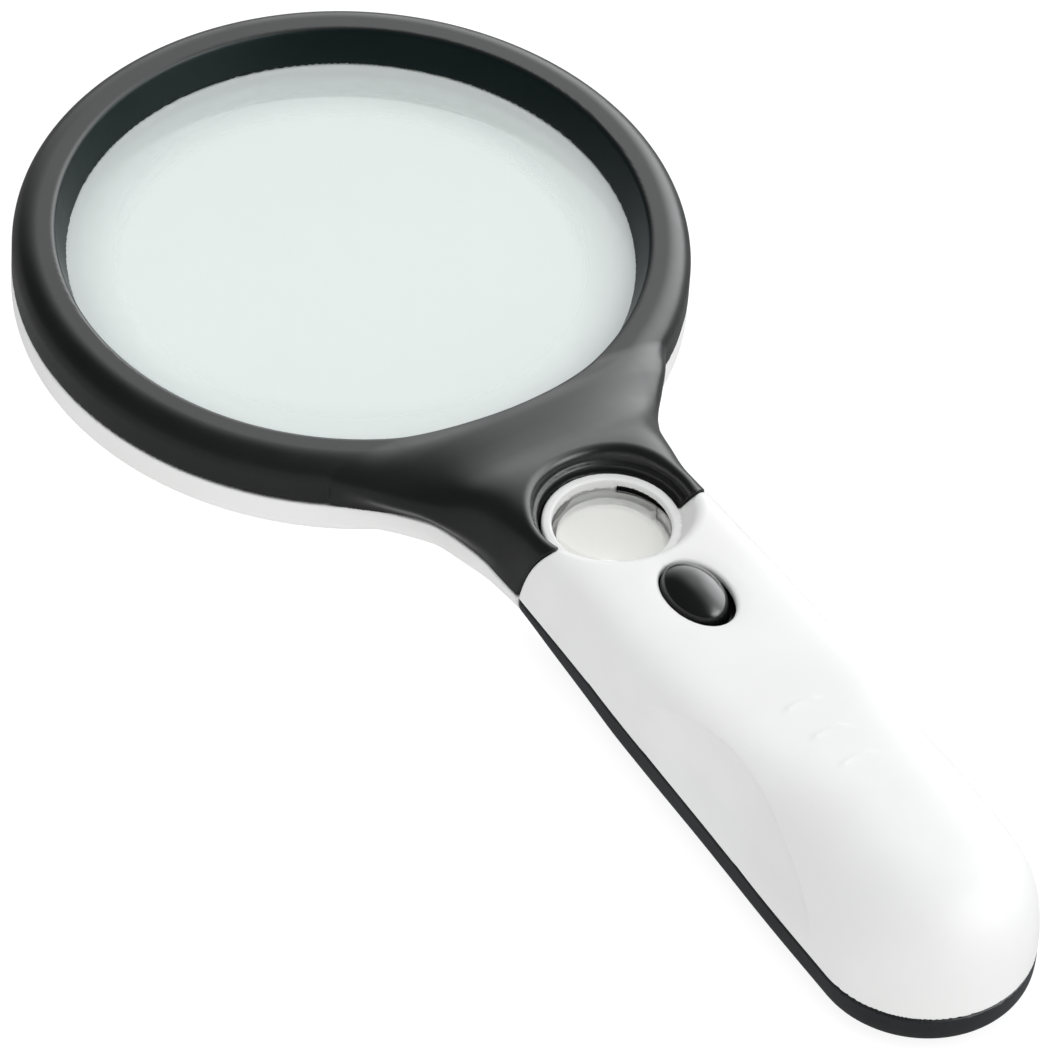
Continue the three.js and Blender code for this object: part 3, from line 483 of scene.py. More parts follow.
def oval(x, y, at, half):
    """Distance in plan to an ellipse, exact at its edge."""
    reach = np.hypot((x - at) / half[0], y / half[1])
    steep = np.hypot((x - at) / half[0] ** 2, y / half[1] ** 2) / np.maximum(reach, 1e-6)
    return (reach - 1) / np.maximum(steep, 0.05)


def handle_front(x, y, z):
    rw = well_radius(x, y)
    body = handle(x, y, z)
    ring = oval(x, y, *APERTURE)
    body = body + 0.22 * np.clip(1 - ring / 2.4, 0, 1) ** 2 * (z > PARTING + 8)
    body = body + finger_hollow(x, y, z) - thumb_ribs(x, y, z)
    body = round_and(body, SEAM - seam(x, z), 0.4)
    dish = np.maximum(TUBE_TOP - z, (rw - TUBE_OUTER - (z - TUBE_TOP) * 0.4) * 0.93)
    body = cut(body, dish, 1.1)
    body = round_and(body, PARTING + SEAM - z, 0.22)
    room = handle(x, y, z, WALL) + 0.55 * finger_hollow(x, y, z)
    room = cut(room, np.maximum(rw - 10.7, 12.4 - z))
    body = cut(body, room)
    body = join(body, disc(rw - TUBE_OUTER, z, PARTING + SEAM, TUBE_TOP, 0.3), 0.3)
    body = cut(body, rw - TUBE_INNER, 0.3)
    body = cut(body, np.maximum(rw - TUBE_REBATE, z - TUBE_SEAT))
    turn = np.degrees(np.arctan2(y, x - WELL_X))
    slot = np.abs(turn - LIGHT_SLOT_TURN[0]) - LIGHT_SLOT_TURN[1]
    slot = np.maximum(slot, np.abs(rw - TUBE_REBATE) * 12 - 12)
    height = np.abs(z - LIGHT_SLOT_HEIGHT[0]) - LIGHT_SLOT_HEIGHT[1]
    body = cut(body, np.maximum(np.maximum(slot * 0.14, height), -y))
    body = cut(body, np.maximum(ring, 14 - z), 0.45)
    for at, hole, low, high in ((BOARD_SCREW, 13.9, 10.7, 15.9), (CRADLE_SCREW, 14.9, 11.1, 17.2)):
        stud = np.maximum(post(x, np.abs(y), z, at, 2.1, low, high), handle(x, y, z, WALL / 2))
        body = join(body, stud, 0.2)
        body = cut(body, post(x, np.abs(y), z, at, 0.9, 0, hole))
    return body


def battery_door(x, y, z):
    """The rear cover: a thin tray with a tongue under the collar and five grooves for the thumb."""
    rw = well_radius(x, y)
    body = cut(handle(x, y, z), handle(x, y, z, WALL))
    body = round_and(body, HANDLE_START - x, 0.25)
    body = round_and(body, z - PARTING + SEAM, 0.2)
    body = cut(body, rw - COVER_EDGE, 0.25)
    edge = WELL_X + COVER_EDGE
    tongue = block(x, y, z, (edge - 1.7, -2.3, 1.9), (edge + 2.5, 2.3, 2.9), 0.2)
    root = block(x, y, z, (edge + 0.4, -2.3, 0.8), (edge + 2.5, 2.3, 2.9), 0.2)
    body = join(body, join(tongue, root), 0.2)
    for i in range(5):
        groove = np.hypot(x - 84.5 - 2.4 * i, z + 0.35) - 0.85
        body = cut(body, np.maximum(groove, np.abs(y) - 6 + 0.6 * i), 0.2)
    return body


# ---- button and switch ----


def button(x, y, z):
    side = oval(x, y, BUTTON_X, BUTTON_HALF)
    dome_reach = np.hypot((x - BUTTON_X) / BUTTON_HALF[0], y / BUTTON_HALF[1])
    crown = BUTTON_TOP - 1.9 * np.clip(dome_reach, 0, 1.2) ** 2.4
    body = round_and(side, (z - crown) * 0.85, 0.7)
    body = np.maximum(body, 15.2 - z)
    skirt = block(x, y, z, (BUTTON_X - 7.3, -5, 15.2), (BUTTON_X + 7.5, 5, 15.8), 0.2)
    fork = block(np.abs(x - BUTTON_X), y, z, (0.95, -0.7, 13.75), (1.75, 0.7, 15.4), 0.1)
    return join(join(body, skirt, 0.2), fork, 0.1)


def can(x, y, z):
    outer = block(x, y, z, (SWITCH_X - 4.3, -1.85, 11.5), (SWITCH_X + 4.3, 1.85, 13.6), 0.3)
    inner = block(x, y, z, (SWITCH_X - 4, -1.55, 10.5), (SWITCH_X + 4, 1.55, 13.3), 0.15)
    slot = block(x, y, z, (SWITCH_X - 2.1, -0.9, 12), (SWITCH_X + 2.1, 0.9, 15), 0.2)
    return cut(cut(outer, inner), slot, 0.08)


def slider(x, y, z):
    base = block(x, y, z, (BUTTON_X - 2, -1.25, 11.6), (BUTTON_X + 2, 1.25, 13.1), 0.15)
    knob = block(x, y, z, (BUTTON_X - 0.8, -0.7, 11.6), (BUTTON_X + 0.8, 0.7, 15), 0.15)
    return join(base, knob, 0.1)


def switch_base(x, y, z):
    return block(x, y, z, (SWITCH_X - 4.2, -1.75, 10.65), (SWITCH_X + 4.2, 1.75, 11.45), 0.12)


def board(x, y, z):
    body = block(x, y, z, (72.2, -9.5, 9.4), (87.2, 9.5, 10.6), 0.12)
    for i in (-1, 0, 1):
        body = cut(body, np.hypot(x - SWITCH_X - PIN_PITCH * i, y) - 0.42)
    return cut(body, np.hypot(x - BOARD_SCREW[0], np.abs(y) - BOARD_SCREW[1]) - 1.0, 0.08)


def resistor(x, y, z):
    u, v, w = x - 79, y - 5.5, z - 7.9
    r = np.hypot(v, w)
    swell = 0.62 + 0.13 * np.clip((np.abs(u) - 0.8) / 0.5, 0, 1) ** 2
    body = round_and(r - swell, np.abs(u) - 1.7, 0.3)
    lead = np.maximum(r - 0.24, np.abs(u) - 2.8)
    leg = np.maximum(np.hypot(np.abs(u) - 3, v) - 0.24, np.maximum(z - 9.35, 8.1 - z))
    bend = np.hypot(np.hypot(np.abs(u) - 2.75, w - 0.25) - 0.25, v) - 0.24
    bend = np.maximum(bend, np.maximum(2.75 - np.abs(u), w - 0.25))
    return join(join(body, lead, 0.15), join(leg, bend, 0.1), 0.1)


# ---- cells, cradle, plates ----


def cell(node, side):
    """A cell in its sleeve, with a groove and a raised nub at its positive end, which side turns."""
    start, end = lens_x(node)
    flat, tip = (start, end)[::side]
    foot, shoulder = flat + 0.15 * side, tip - 0.95 * side

    def field(x, y, z):
        r = np.hypot(y - side * CELL_Y, z - CELL_Z)
        length = np.abs(x - (foot + shoulder) / 2) - abs(shoulder - foot) / 2
        body = round_and(r - CELL_RADIUS + 0.05, length, 0.55)
        body = cut(body, np.hypot(x - shoulder + side * 1.6, r - CELL_RADIUS - 0.25) - 0.42, 0.12)
        body = cut(body, np.hypot(x - shoulder, (r - 3.7) / 1.4) - 0.34, 0.1)
        nub_length = np.abs(x - (tip + shoulder) / 2) - abs(tip - shoulder) / 2 - 0.02
        nub = round_and(r - 2.7, nub_length, 0.3)
        base = round_and(r - 4.1, np.abs(x - flat) - 0.15, 0.1)
        return join(join(body, nub, 0.35), base, 0.1)

    low = (start - 0.4, side * CELL_Y - 5.6, CELL_Z - 5.6)
    return field, low, (end + 0.4, side * CELL_Y + 5.6, CELL_Z + 5.6)


def cradle(x, y, z):
    across = np.abs(y)
    body = block(x, y, z, (88, -20, 9), (139.3, 20, 13.7), 0.25)
    trough = np.hypot(across - CELL_Y, z - CELL_Z) - CELL_RADIUS - 0.2
    trough = np.maximum(trough, np.abs(x - 113.55) - 24.55)
    body = cut(body, trough, 0.15)
    for start, end in ((88, 89), (138.1, 139.3)):
        body = join(body, block(x, y, z, (start, -8, 3.3), (end, 8, 10), 0.2), 0.1)
    body = join(body, block(x, y, z, (138.5, -6.4, 8.9), (143.6, 6.4, 11), 0.3), 0.1)
    body = cut(body, block(x, y, z, (137.5, -20, 0), (138.1, 20, 11.2)))
    room = handle(x, y, z, WALL + FIT + 0.05) + 1.2 * finger_hollow(x, y, z)
    body = round_and(body, room, 0.25)
    body = cut(body, np.hypot(x - CRADLE_SCREW[0], across - CRADLE_SCREW[1]) - 1.05, 0.1)
    return cut(body, block(x, across, z, (86, CELL_Y - 1.1, 9.8), (90, CELL_Y + 1.1, 11), 0.1))


def head_plate(side):
    """The contact at the head end of one cell, with a tab that reaches the board."""
    def field(x, y, z):
        v = y - side * CELL_Y
        plate = block(x, v, z, (89.1, -3.8, 3.6), (89.4, 3.8, 10.9), 0.12)
        tab = block(x, v, z, (87.5, -0.8, 10.2), (89.4, 0.8, 10.5), 0.12)
        return join(plate, tab, 0.15)

    return field, (87.2, side * CELL_Y - 4, 3.4), (89.7, side * CELL_Y + 4, 11.2)


def tail_plate(x, y, z):
    plate = block(x, y, z, (137.6, -CELL_Y - 3.8, 3.6), (137.9, CELL_Y + 3.8, 10.9), 0.12)
    return cut(plate, np.hypot(y, z - 7.2) - 1.1, 0.08)


# ---- lamps and screws ----


def round_lamp(side):
    """A round lamp with a domed tip toward the lens, a flange and two legs."""
    turn = LAMP_TURN * side

    def field(x, y, z):
        u, v = turned_by(turn, x, y)
        w = z - LAMP_HEIGHT
        r = np.hypot(v, w)
        tip = np.sqrt((u - LAMP_TIP) ** 2 + r**2) - 1.5
        body = join(tip, np.maximum(r - 1.5, np.abs(u - 39.05) - 1.55))
        flange = round_and(r - 1.74, np.abs(u - 40.25) - 0.35, 0.12)
        body = join(body, flange, 0.12)
        leg = block(u, np.abs(v), w, (40.4, 0.42, -0.22), (44.3, 0.86, 0.22), 0.08)
        return join(body, leg, 0.05)

    x0, y0 = 40 * math.cos(turn), 40 * math.sin(turn)
    return field, (x0 - 5.5, y0 - 3.4, 1.2), (x0 + 5.5, y0 + 3.4, 5.6)


def flat_lamp(x, y, z):
    u, v = turned_by(SMALL_LAMP_TURN, x - WELL_X, y)
    body = block(u, v, z, (9.2, -1.75, 9.3), (10.1, 1.75, 11.6), 0.15)
    window = block(u, v, z, (9.0, -1.2, 9.8), (9.24, 1.2, 11.1), 0.08)
    return cut(body, window, 0.05)


def screw(at, low, top, head, shank):
    """A pan head below with a cross in it, and a threaded shank above."""
    def field(x, y, z):
        u, v, w = x - at[0], y - at[1], z - low
        r = np.hypot(u, v)
        cap = round_and(r - head, np.abs(w - 0.55) - 0.55, 0.3)
        cap = cut(cap, np.maximum(w + 0.15 - 0.1 * r, r - head * 2))
        reach, half = head * 0.58, 0.24 * head / 1.8
        across, along = np.abs(u), np.abs(v)
        cross = np.minimum(np.maximum(across - reach, along - half), np.maximum(along - reach, across - half))
        cross = np.maximum(cross, w - 0.5 + 0.25 * r / head)
        cap = cut(cap, cross, 0.06)
        turn = np.arctan2(v, u) / (2 * math.pi)
        phase = (z / 0.7 - turn) % 1.0
        ridge = 0.14 * (np.abs(phase - 0.5) * 2)
        taper = np.clip((z - top + 1.2) / 1.2, 0, 1) * 0.25
        body = np.maximum((r - shank + ridge + taper) * 0.8, np.maximum(z - top, low + 0.8 - z))
        return join(cap, body, 0.1)

    room = head + 0.2
    return field, (at[0] - room, at[1] - room, low - 0.2), (at[0] + room, at[1] + room, top + 0.2)


# ---- turned and swept pieces ----


def turned(node, profile, x, segments=160):
    """A closed body from a profile of [radius, height] pairs that starts and ends on the axis."""
    inner = np.array(profile[1:-1])
    angles = np.arange(segments) * 2 * math.pi / segments
    rings = [np.stack([x + r * np.cos(angles), r * np.sin(angles), np.full(segments, z)], 1)
             for r, z in inner]
    points = np.concatenate(rings + [[[x, 0, profile[0][1]]], [[x, 0, profile[-1][1]]]])
    faces = []
    for i in range(len(inner) - 1):
        for j in range(segments):
            k = (j + 1) % segments
            here, below = i * segments, (i + 1) * segments
            faces.append([here + j, below + j, below + k, here + k])
    top, bottom, last = len(points) - 2, len(points) - 1, (len(inner) - 1) * segments
    for j in range(segments):
        k = (j + 1) % segments
        faces.append([top, j, k])
        faces.append([bottom, last + k, last + j])
    return make_mesh(node, points, faces)


def lens(node, bulge, sag, rim_round):
    """A lens bulging on both faces inside a flat rim, its rim edges rounded."""
    low, high = mm_box(node)
    radius = (high[1] - low[1]) / 2
    top, bottom = high[2] - sag, low[2] + sag
    curve = (bulge * bulge + sag * sag) / (2 * sag)
    steps = 40
    profile = []
    for i in range(steps + 1):
        r = bulge * i / steps
        profile.append([r, top + sag - curve + math.sqrt(curve * curve - r * r)])
    for i in range(1, 4):
        profile.append([bulge + (radius - rim_round - bulge) * i / 3, top])
    for i in range(1, 7):
        a = math.pi / 2 * (1 - i / 6)
        profile.append([radius - rim_round + rim_round * math.cos(a),
                        top - rim_round + rim_round * math.sin(a)])
    mirror = [[r, top + bottom - z] for r, z in reversed(profile)]
    return turned(node, profile + mirror, centre(node)[0] - ORIGIN_X)


def smooth_path(points, count):
    """Points evenly spread on a smooth curve through the given ones."""
    points = np.array(points, float)
    padded = np.vstack([2 * points[0] - points[1], points, 2 * points[-1] - points[-2]])
    out = []
    per = 12
    for i in range(len(points) - 1):
        a, b, c, d = padded[i:i + 4]
        for t in np.arange(per) / per:
            out.append(0.5 * (2 * b + (c - a) * t + (2 * a - 5 * b + 4 * c - d) * t**2
                              + (3 * b - a - 3 * c + d) * t**3))
    out = np.array(out + [points[-1]])
    length = np.concatenate([[0], np.cumsum(np.linalg.norm(np.diff(out, axis=0), axis=1))])
    at = np.linspace(0, length[-1], count)
    return np.stack([np.interp(at, length, out[:, a]) for a in range(3)], 1)


def swept(node, path, radius, sides=14):
    """A round wire along a path, with rounded ends."""
    path = np.array(path, float)
    tangent = np.gradient(path, axis=0)
    tangent /= np.linalg.norm(tangent, axis=1, keepdims=True)
    side = np.cross(tangent[0], [0, 0, 1.0])
    if np.linalg.norm(side) < 0.1:
        side = np.cross(tangent[0], [0, 1.0, 0])
    side /= np.linalg.norm(side)
    rings = []
    angles = np.arange(sides) * 2 * math.pi / sides

    def ring(at, direction, sideways, size):
        up = np.cross(direction, sideways)
        return at + size * (np.cos(angles)[:, None] * sideways + np.sin(angles)[:, None] * up)

    inset = radius * 0.35
    rings.append(ring(path[0], tangent[0], side, radius - inset))
    for i, at in enumerate(path):
        side = side - tangent[i] * (side @ tangent[i])
        side /= np.linalg.norm(side)
        shift = inset if i == 0 else -inset if i == len(path) - 1 else 0
        rings.append(ring(at + tangent[i] * shift, tangent[i], side, radius))
    rings.append(ring(path[-1], tangent[-1], side, radius - inset))
    points = np.concatenate(rings)
    faces = []
    for i in range(len(rings) - 1):
        for j in range(sides):
            k = (j + 1) % sides
            here, ahead = i * sides, (i + 1) * sides
            faces.append([here + j, here + k, ahead + k, ahead + j])
    last = (len(rings) - 1) * sides
    faces.append(list(range(sides))[::-1])
    faces.append([last + j for j in range(sides)])
    return make_mesh(node, points, faces)


def coil(wide_end, narrow_end, side):
    """The path of a conical spring between a plate and a cell."""
    turns, steps = 2.5, 110
    part = np.linspace(0, 1, steps)
    angle = 2 * math.pi * turns * part
    radius = 3.1 - 1.2 * part
    x = wide_end + (narrow_end - wide_end) * part
    return np.stack([x, side * CELL_Y + radius * np.cos(angle), CELL_Z + radius * np.sin(angle)], 1)


# ---- materials ----


class Nodes:
    """The nodes of a material, or of the world, under construction."""

    def __init__(self, name, world=False):
        self.owner = (bpy.data.worlds if world else bpy.data.materials).new(name)
        self.owner.use_nodes = True
        self.tree = self.owner.node_tree
        self.tree.nodes.clear()
        self.out = self.tree.nodes.new("ShaderNodeOutputWorld" if world else "ShaderNodeOutputMaterial")
        place = self.tree.nodes.new("ShaderNodeTexCoord")
        self.place = place.outputs["Generated" if world else "Object"]

    def add(self, kind, inputs=None, **options):
        node = self.tree.nodes.new(kind)
        for key, value in options.items():
            setattr(node, key, value)
        for key, value in (inputs or {}).items():
            if isinstance(value, bpy.types.NodeSocket):
                self.tree.links.new(value, node.inputs[key])
            else:
                node.inputs[key].default_value = value
        return node

    def noise(self, scale, detail=3.0, stretch=None, distortion=0.0):
        place = self.place
        if stretch:
            place = self.add("ShaderNodeMapping", {"Vector": place, "Scale": stretch}).outputs[0]
        return self.add("ShaderNodeTexNoise", {"Vector": place, "Scale": scale, "Detail": detail,
                                               "Distortion": distortion}).outputs["Fac"]

    def spread(self, value, low, high, start=0.3, end=0.7, kind="LINEAR"):
        """Takes a value from between start and end to between low and high."""
        ends = {"Value": value, "From Min": start, "From Max": end, "To Min": low, "To Max": high}
        return self.add("ShaderNodeMapRange", ends, interpolation_type=kind).outputs["Result"]

    def blend(self, factor, a, b):
        """A mix of two colours, each a socket or three numbers."""
        a, b = (value if isinstance(value, bpy.types.NodeSocket) else (*value, 1) for value in (a, b))
        return self.add("ShaderNodeMix", {"Factor": factor, 6: a, 7: b}, data_type="RGBA").outputs[2]

    def bump(self, height, strength, distance, normal=None):
        inputs = {"Height": height, "Strength": strength, "Distance": distance}
        if normal is not None:
            inputs["Normal"] = normal
        return self.add("ShaderNodeBump", inputs).outputs["Normal"]

    def math(self, operation, a, b):
        return self.add("ShaderNodeMath", {0: a, 1: b}, operation=operation).outputs[0]

    def along(self):
        """Distance along the handle."""
        return self.add("ShaderNodeSeparateXYZ", {"Vector": self.place}).outputs["X"]

    def principled(self, colour, roughness, normal, extra=None):
        """Finishes the material as one surface with these and any extra settings."""
        settings = {"Base Color": colour, "Roughness": roughness, "Normal": normal, **(extra or {})}
        return self.finish(self.add("ShaderNodeBsdfPrincipled", settings))

    def finish(self, shader):
        self.tree.links.new(shader.outputs[0], self.out.inputs["Surface"])
        return self.owner


def plastic(name, dark, light, rough, grain, coat=0.0, edge_lighten=0.0, bore=False):
    """Moulded plastic: cloudy colour, fine grain, faint rubbing and a colour lightened on sharp convex edges.
    """
    n = Nodes(name)
    colour = n.blend(n.spread(n.noise(55, 4), 0, 1, 0.35, 0.65), dark, light)
    rub = n.spread(n.noise(260, 5, (0.12, 1, 1), 0.6), 0, 1, 0.56, 0.74)
    # Colour lightened toward a paler tone on sharp convex edges, by up to the given edge amount.
    edge = n.add("ShaderNodeNewGeometry").outputs["Pointiness"]
    edge_lift = n.spread(edge, 0, edge_lighten, 0.52, 0.62)
    colour = n.blend(edge_lift, colour, tuple(min(1, c * 1.6 + 0.02) for c in light))
    roughness = n.spread(n.noise(90, 3), rough - 0.04, rough + 0.05)
    roughness = n.math("ADD", roughness, n.spread(rub, 0, 0.06, 0, 1))
    fine = n.bump(n.noise(grain, 2), 0.06, 0.00004)
    soft = n.bump(n.noise(140, 3), 0.04, 0.0002, fine)
    extra = {"IOR": 1.5, "Coat Weight": coat, "Coat Roughness": 0.12}
    # Painted light on the wall facing the main lens: its colour is tinted teal as a painted teal glow, and
    # its gloss is lowered so the bore reads darker, as painted shade.
    if bore:
        inside = painted_bore_shade_mask(n)
        colour = n.blend(inside, colour, (0.006, 0.012, 0.012))
        extra["Specular IOR Level"] = n.spread(inside, 0.5, 0.16, 0, 1)
    return n.principled(colour, roughness, soft, extra)


def lens_reach(n):
    """Distance from the axis of the main lens."""
    offset = n.add("ShaderNodeVectorMath", {0: n.place, 1: (-ORIGIN_X / MM, 0, 0)}).outputs[0]
    flat = n.add("ShaderNodeVectorMath", {0: offset, 1: (1, 1, 0)}, operation="MULTIPLY").outputs[0]
    return n.add("ShaderNodeVectorMath", {0: flat}, operation="LENGTH").outputs["Value"]


def painted_bore_shade_mask(n):
    """One on the wall that faces the main lens, nought elsewhere: where that wall gets painted shade and a
    painted teal glow.
    """
    return n.spread(lens_reach(n), 1, 0, (RIM_TOP + 0.05) / MM, (RIM_TOP + 0.35) / MM)


def metal(name, dark, light, rough, stretch=(1, 1, 1), grain=900):
    """Drawn or plated metal with fine streaks and slight tarnish."""
    n = Nodes(name)
    colour = n.blend(n.spread(n.noise(320, 4), 0, 1, 0.35, 0.7), light, dark)
    streak = n.noise(grain, 3, stretch)
    roughness = n.spread(streak, rough - 0.06, rough + 0.12)
    return n.principled(colour, roughness, n.bump(streak, 0.12, 0.00003), {"Metallic": 1.0})


def glass(name, tint, edge_tint, haze_tint, veil, rim_veil=None):
    """Clear moulded lens: tinted see-through body with a Fresnel gloss that lets light through."""
    n = Nodes(name)
    smear = n.noise(38, 4, (1, 2.2, 1), 0.4)
    facing = n.add("ShaderNodeLayerWeight", {"Blend": 0.42}).outputs["Facing"]
    body = n.blend(n.spread(facing, 0, 1, 0.25, 0.95), tint, edge_tint)
    body = n.blend(n.spread(smear, 0, 0.25, 0.45, 0.7), body, tuple(c * 0.985 for c in tint))
    clear = n.add("ShaderNodeBsdfTransparent", {"Color": body})
    haze = n.add("ShaderNodeBsdfDiffuse", {"Color": (*haze_tint, 1)})
    if rim_veil:
        veil = n.spread(lens_reach(n), veil, rim_veil, (RIM_INNER - 7) / MM, (RIM_INNER - 0.5) / MM)
    see = n.add("ShaderNodeMixShader", {0: veil, 1: clear.outputs[0], 2: haze.outputs[0]})
    fine = n.bump(n.noise(70, 2), 0.02, 0.0002)
    gloss = n.add("ShaderNodeBsdfGlossy", {"Roughness": n.spread(smear, 0.015, 0.06), "Normal": fine})
    fresnel = n.add("ShaderNodeFresnel", {"IOR": 1.14, "Normal": fine}).outputs[0]
    shadow = n.add("ShaderNodeLightPath").outputs["Is Shadow Ray"]
    factor = n.math("MULTIPLY", fresnel, n.math("SUBTRACT", 1.0, shadow))
    mix = n.add("ShaderNodeMixShader", {0: factor, 1: see.outputs[0], 2: gloss.outputs[0]})
    return n.finish(mix)


def resin(name, colour, glow):
    """Milky lamp resin with soft light inside."""
    n = Nodes(name)
    tone = n.blend(n.spread(n.noise(500, 3), 0, 1), colour, tuple(c * 0.92 for c in colour))
    return n.principled(tone, n.spread(n.noise(900), 0.06, 0.16), n.bump(n.noise(700), 0.03, 0.00005), {
        "IOR": 1.5, "Transmission Weight": 0.35, "Subsurface Weight": 0.2,
        "Subsurface Radius": (0.002, 0.002, 0.001), "Emission Color": (*glow, 1), "Emission Strength": 0.05})


def laminate(name):
    """Green board with woven glass under the mask and lighter copper traces."""
    n = Nodes(name)
    weave, cross = (n.add("ShaderNodeTexWave", {"Vector": n.place, "Scale": 900.0, "Distortion": 0.4},
                          bands_direction=way).outputs["Fac"] for way in "XY")
    cloth = n.math("MULTIPLY", weave, cross)
    traces = n.spread(n.noise(330, 0.5, (0.25, 1, 1)), 0, 1, 0.53, 0.56)
    colour = n.blend(traces, n.blend(cloth, (0.012, 0.11, 0.05), (0.02, 0.15, 0.07)), (0.04, 0.24, 0.11))
    normal = n.bump(traces, 0.3, 0.00004, n.bump(cloth, 0.1, 0.00002))
    return n.principled(colour, n.spread(n.noise(400), 0.3, 0.42), normal, {"Coat Weight": 0.3})


def cell_wrap(name):
    """Printed cell sleeve in two plain colour fields with a thin light band between them."""
    n = Nodes(name)
    along = n.along()
    field = n.spread(along, 0, 1, 0.0655, 0.0657)
    band = n.math("SUBTRACT", n.spread(along, 0, 1, 0.0645, 0.0647), field)
    colour = n.blend(field, (0.03, 0.09, 0.24), (0.55, 0.37, 0.10))
    colour = n.blend(band, colour, (0.8, 0.8, 0.78))
    colour = n.blend(n.spread(n.noise(240, 4), 0, 0.25), colour, (0.02, 0.03, 0.05))
    crinkle = n.bump(n.noise(600, 3, (3, 1, 1)), 0.08, 0.00004)
    return n.principled(colour, n.spread(n.noise(500), 0.22, 0.36), crinkle,
                        {"Metallic": 0.35, "Coat Weight": 0.5, "Coat Roughness": 0.1})


def banded(name):
    """Resistor coat with four colour bands and metal leads."""
    n = Nodes(name)
    along = n.along()
    low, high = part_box("resistor")
    mid = (low[0] + high[0]) / 2
    colour = n.blend(n.spread(n.noise(900), 0, 1), (0.42, 0.27, 0.14), (0.5, 0.34, 0.18))
    for offset, band in ((-1.1, (0.32, 0.08, 0.02)), (-0.45, (0.01, 0.01, 0.01)),
                         (0.2, (0.45, 0.02, 0.01)), (1.1, (0.55, 0.38, 0.08))):
        at = mid + offset / MM
        rise = n.spread(along, 0, 1, at - 0.00022, at - 0.0002)
        fall = n.spread(along, 1, 0, at + 0.0002, at + 0.00022)
        colour = n.blend(n.math("MULTIPLY", rise, fall), colour, band)
    for offset, before, after in ((-1.85, 1, 0), (1.85, 0, 1)):
        at = mid + offset / MM
        colour = n.blend(n.spread(along, before, after, at - 0.00002, at + 0.00002), colour, (0.6, 0.6, 0.6))
    return n.principled(colour, n.spread(n.noise(700), 0.3, 0.45), n.bump(n.noise(900), 0.1, 0.00003))


def build_looks():
    """The slot and the material of each look."""
    inner = plastic("black_cradle", (0.02, 0.02, 0.021), (0.035, 0.035, 0.036), 0.5, 1800, edge_lighten=0.15)
    return {
        # black_satin gets painted shade and a painted teal glow on the wall facing the main lens (bore=True).
        "black": ("black_shell", plastic("black_satin", (0.0085, 0.009, 0.009), (0.0125, 0.0132, 0.013),
                                         0.34, 2600, edge_lighten=0.12, bore=True)),
        "rear_black": ("black_shell", plastic("black_rear", (0.014, 0.015, 0.017), (0.024, 0.026, 0.029),
                                              0.4, 2600, edge_lighten=0.12)),
        "button": ("black_button", plastic("black_gloss", (0.008, 0.0085, 0.0085), (0.013, 0.0135, 0.0135),
                                           0.2, 3000, 0.25, 0.1)),
        "white": ("white_shell", plastic("white_satin", (0.86, 0.86, 0.85), (0.9, 0.9, 0.895), 0.46, 2400)),
        "cradle": ("black_shell", inner),
        "slider": ("black_button", inner),
        "glass": ("lens_glass", glass("clear_lens", (0.885, 0.91, 0.9), (0.74, 0.82, 0.81),
                                      (0.88, 0.93, 0.92), 0.16, 0.8)),
        # The small lens has a see-through colour above one, so it passes more light than reaches it: painted
        # light that brightens the shaded tube seen through it.
        "small_glass": ("lens_glass", glass("small_lens_painted_light", (1.06, 1.06, 1.05), (0.98, 1, 0.99),
                                            (0.95, 0.95, 0.95), 0.07)),
        "steel": ("steel", metal("zinc_steel", (0.36, 0.36, 0.37), (0.62, 0.63, 0.65), 0.3)),
        "nickel": ("nickel_plate", metal("nickel_plate", (0.5, 0.47, 0.42), (0.72, 0.7, 0.66),
                                         0.22, (1, 6, 1))),
        "brass": ("brass", metal("brass_pin", (0.4, 0.25, 0.08), (0.72, 0.5, 0.2), 0.28)),
        "board": ("board", laminate("board_mask")),
        "phenolic": ("phenolic", plastic("phenolic", (0.16, 0.08, 0.035), (0.24, 0.12, 0.055),
                                         0.5, 1500, edge_lighten=0.1)),
        "resistor": ("resistor_coat", banded("resistor_coat")),
        "wrap": ("cell_sleeve", cell_wrap("cell_sleeve")),
        "lamp": ("lamp_resin", resin("lamp_resin", (0.86, 0.85, 0.72), (1.0, 0.96, 0.85))),
        "red": ("red_insulation", plastic("red_vinyl", (0.32, 0.012, 0.01), (0.5, 0.03, 0.02),
                                          0.4, 1800, 0.1, 0.1)),
        "wire_black": ("black_insulation", plastic("black_vinyl", (0.012, 0.012, 0.012), (0.03, 0.03, 0.03),
                                                   0.42, 1800, 0.1, 0.1)),
    }


# ---- the object ----


SPRING_WIRE = 0.25
# kind, place, lowest and highest point, radius of the head and of the shank
SCREWS = (("neck_screw", NECK_SCREW, 1.3, 9.9, 1.9, 0.9), ("board_screw", BOARD_SCREW, 8.2, 13.5, 1.7, 0.8),
          ("cradle_screw", CRADLE_SCREW, 7.7, 14.4, 1.7, 0.8))
LAMP_WIRE_LOW = [[44.2, 8.45, 3.4], [45.4, 7.9, 3.9], [47.2, 7.2, 5], [50.2, 7.9, 6.6], [54, 9.5, 7],
                 [58, 10.2, 7], [62, 10.35, 7], [66, 10.2, 7.1], [69.8, 9.3, 7.8], [71.7, 6.6, 9.8]]
LAMP_WIRE_HIGH = [[44.4, 7.17, 3.4], [45.6, 6.4, 4.4], [47.2, 6, 6.4], [50.2, 6.9, 8], [54, 9, 8.35],
                  [58, 10, 8.35], [62, 10.3, 8.35], [66, 9.9, 8.35], [68.8, 8.4, 8.9], [70.6, 6.4, 9.5],
                  [71.7, 4.4, 9.9]]
SMALL_WIRE_LOW = [[66.45, 8.8, 9.9], [69, 9.2, 9.9], [71.8, 9.1, 10]]
SMALL_WIRE_HIGH = [[66.45, 8.8, 11.1], [69, 8.5, 11.2], [71.8, 8.1, 10]]
CELL_WIRE = [[87.62, 0, 10.9], [87.55, 0, 12], [86.7, 0, 12.6], [85.8, 0, 12], [85.6, 0, 11.05]]


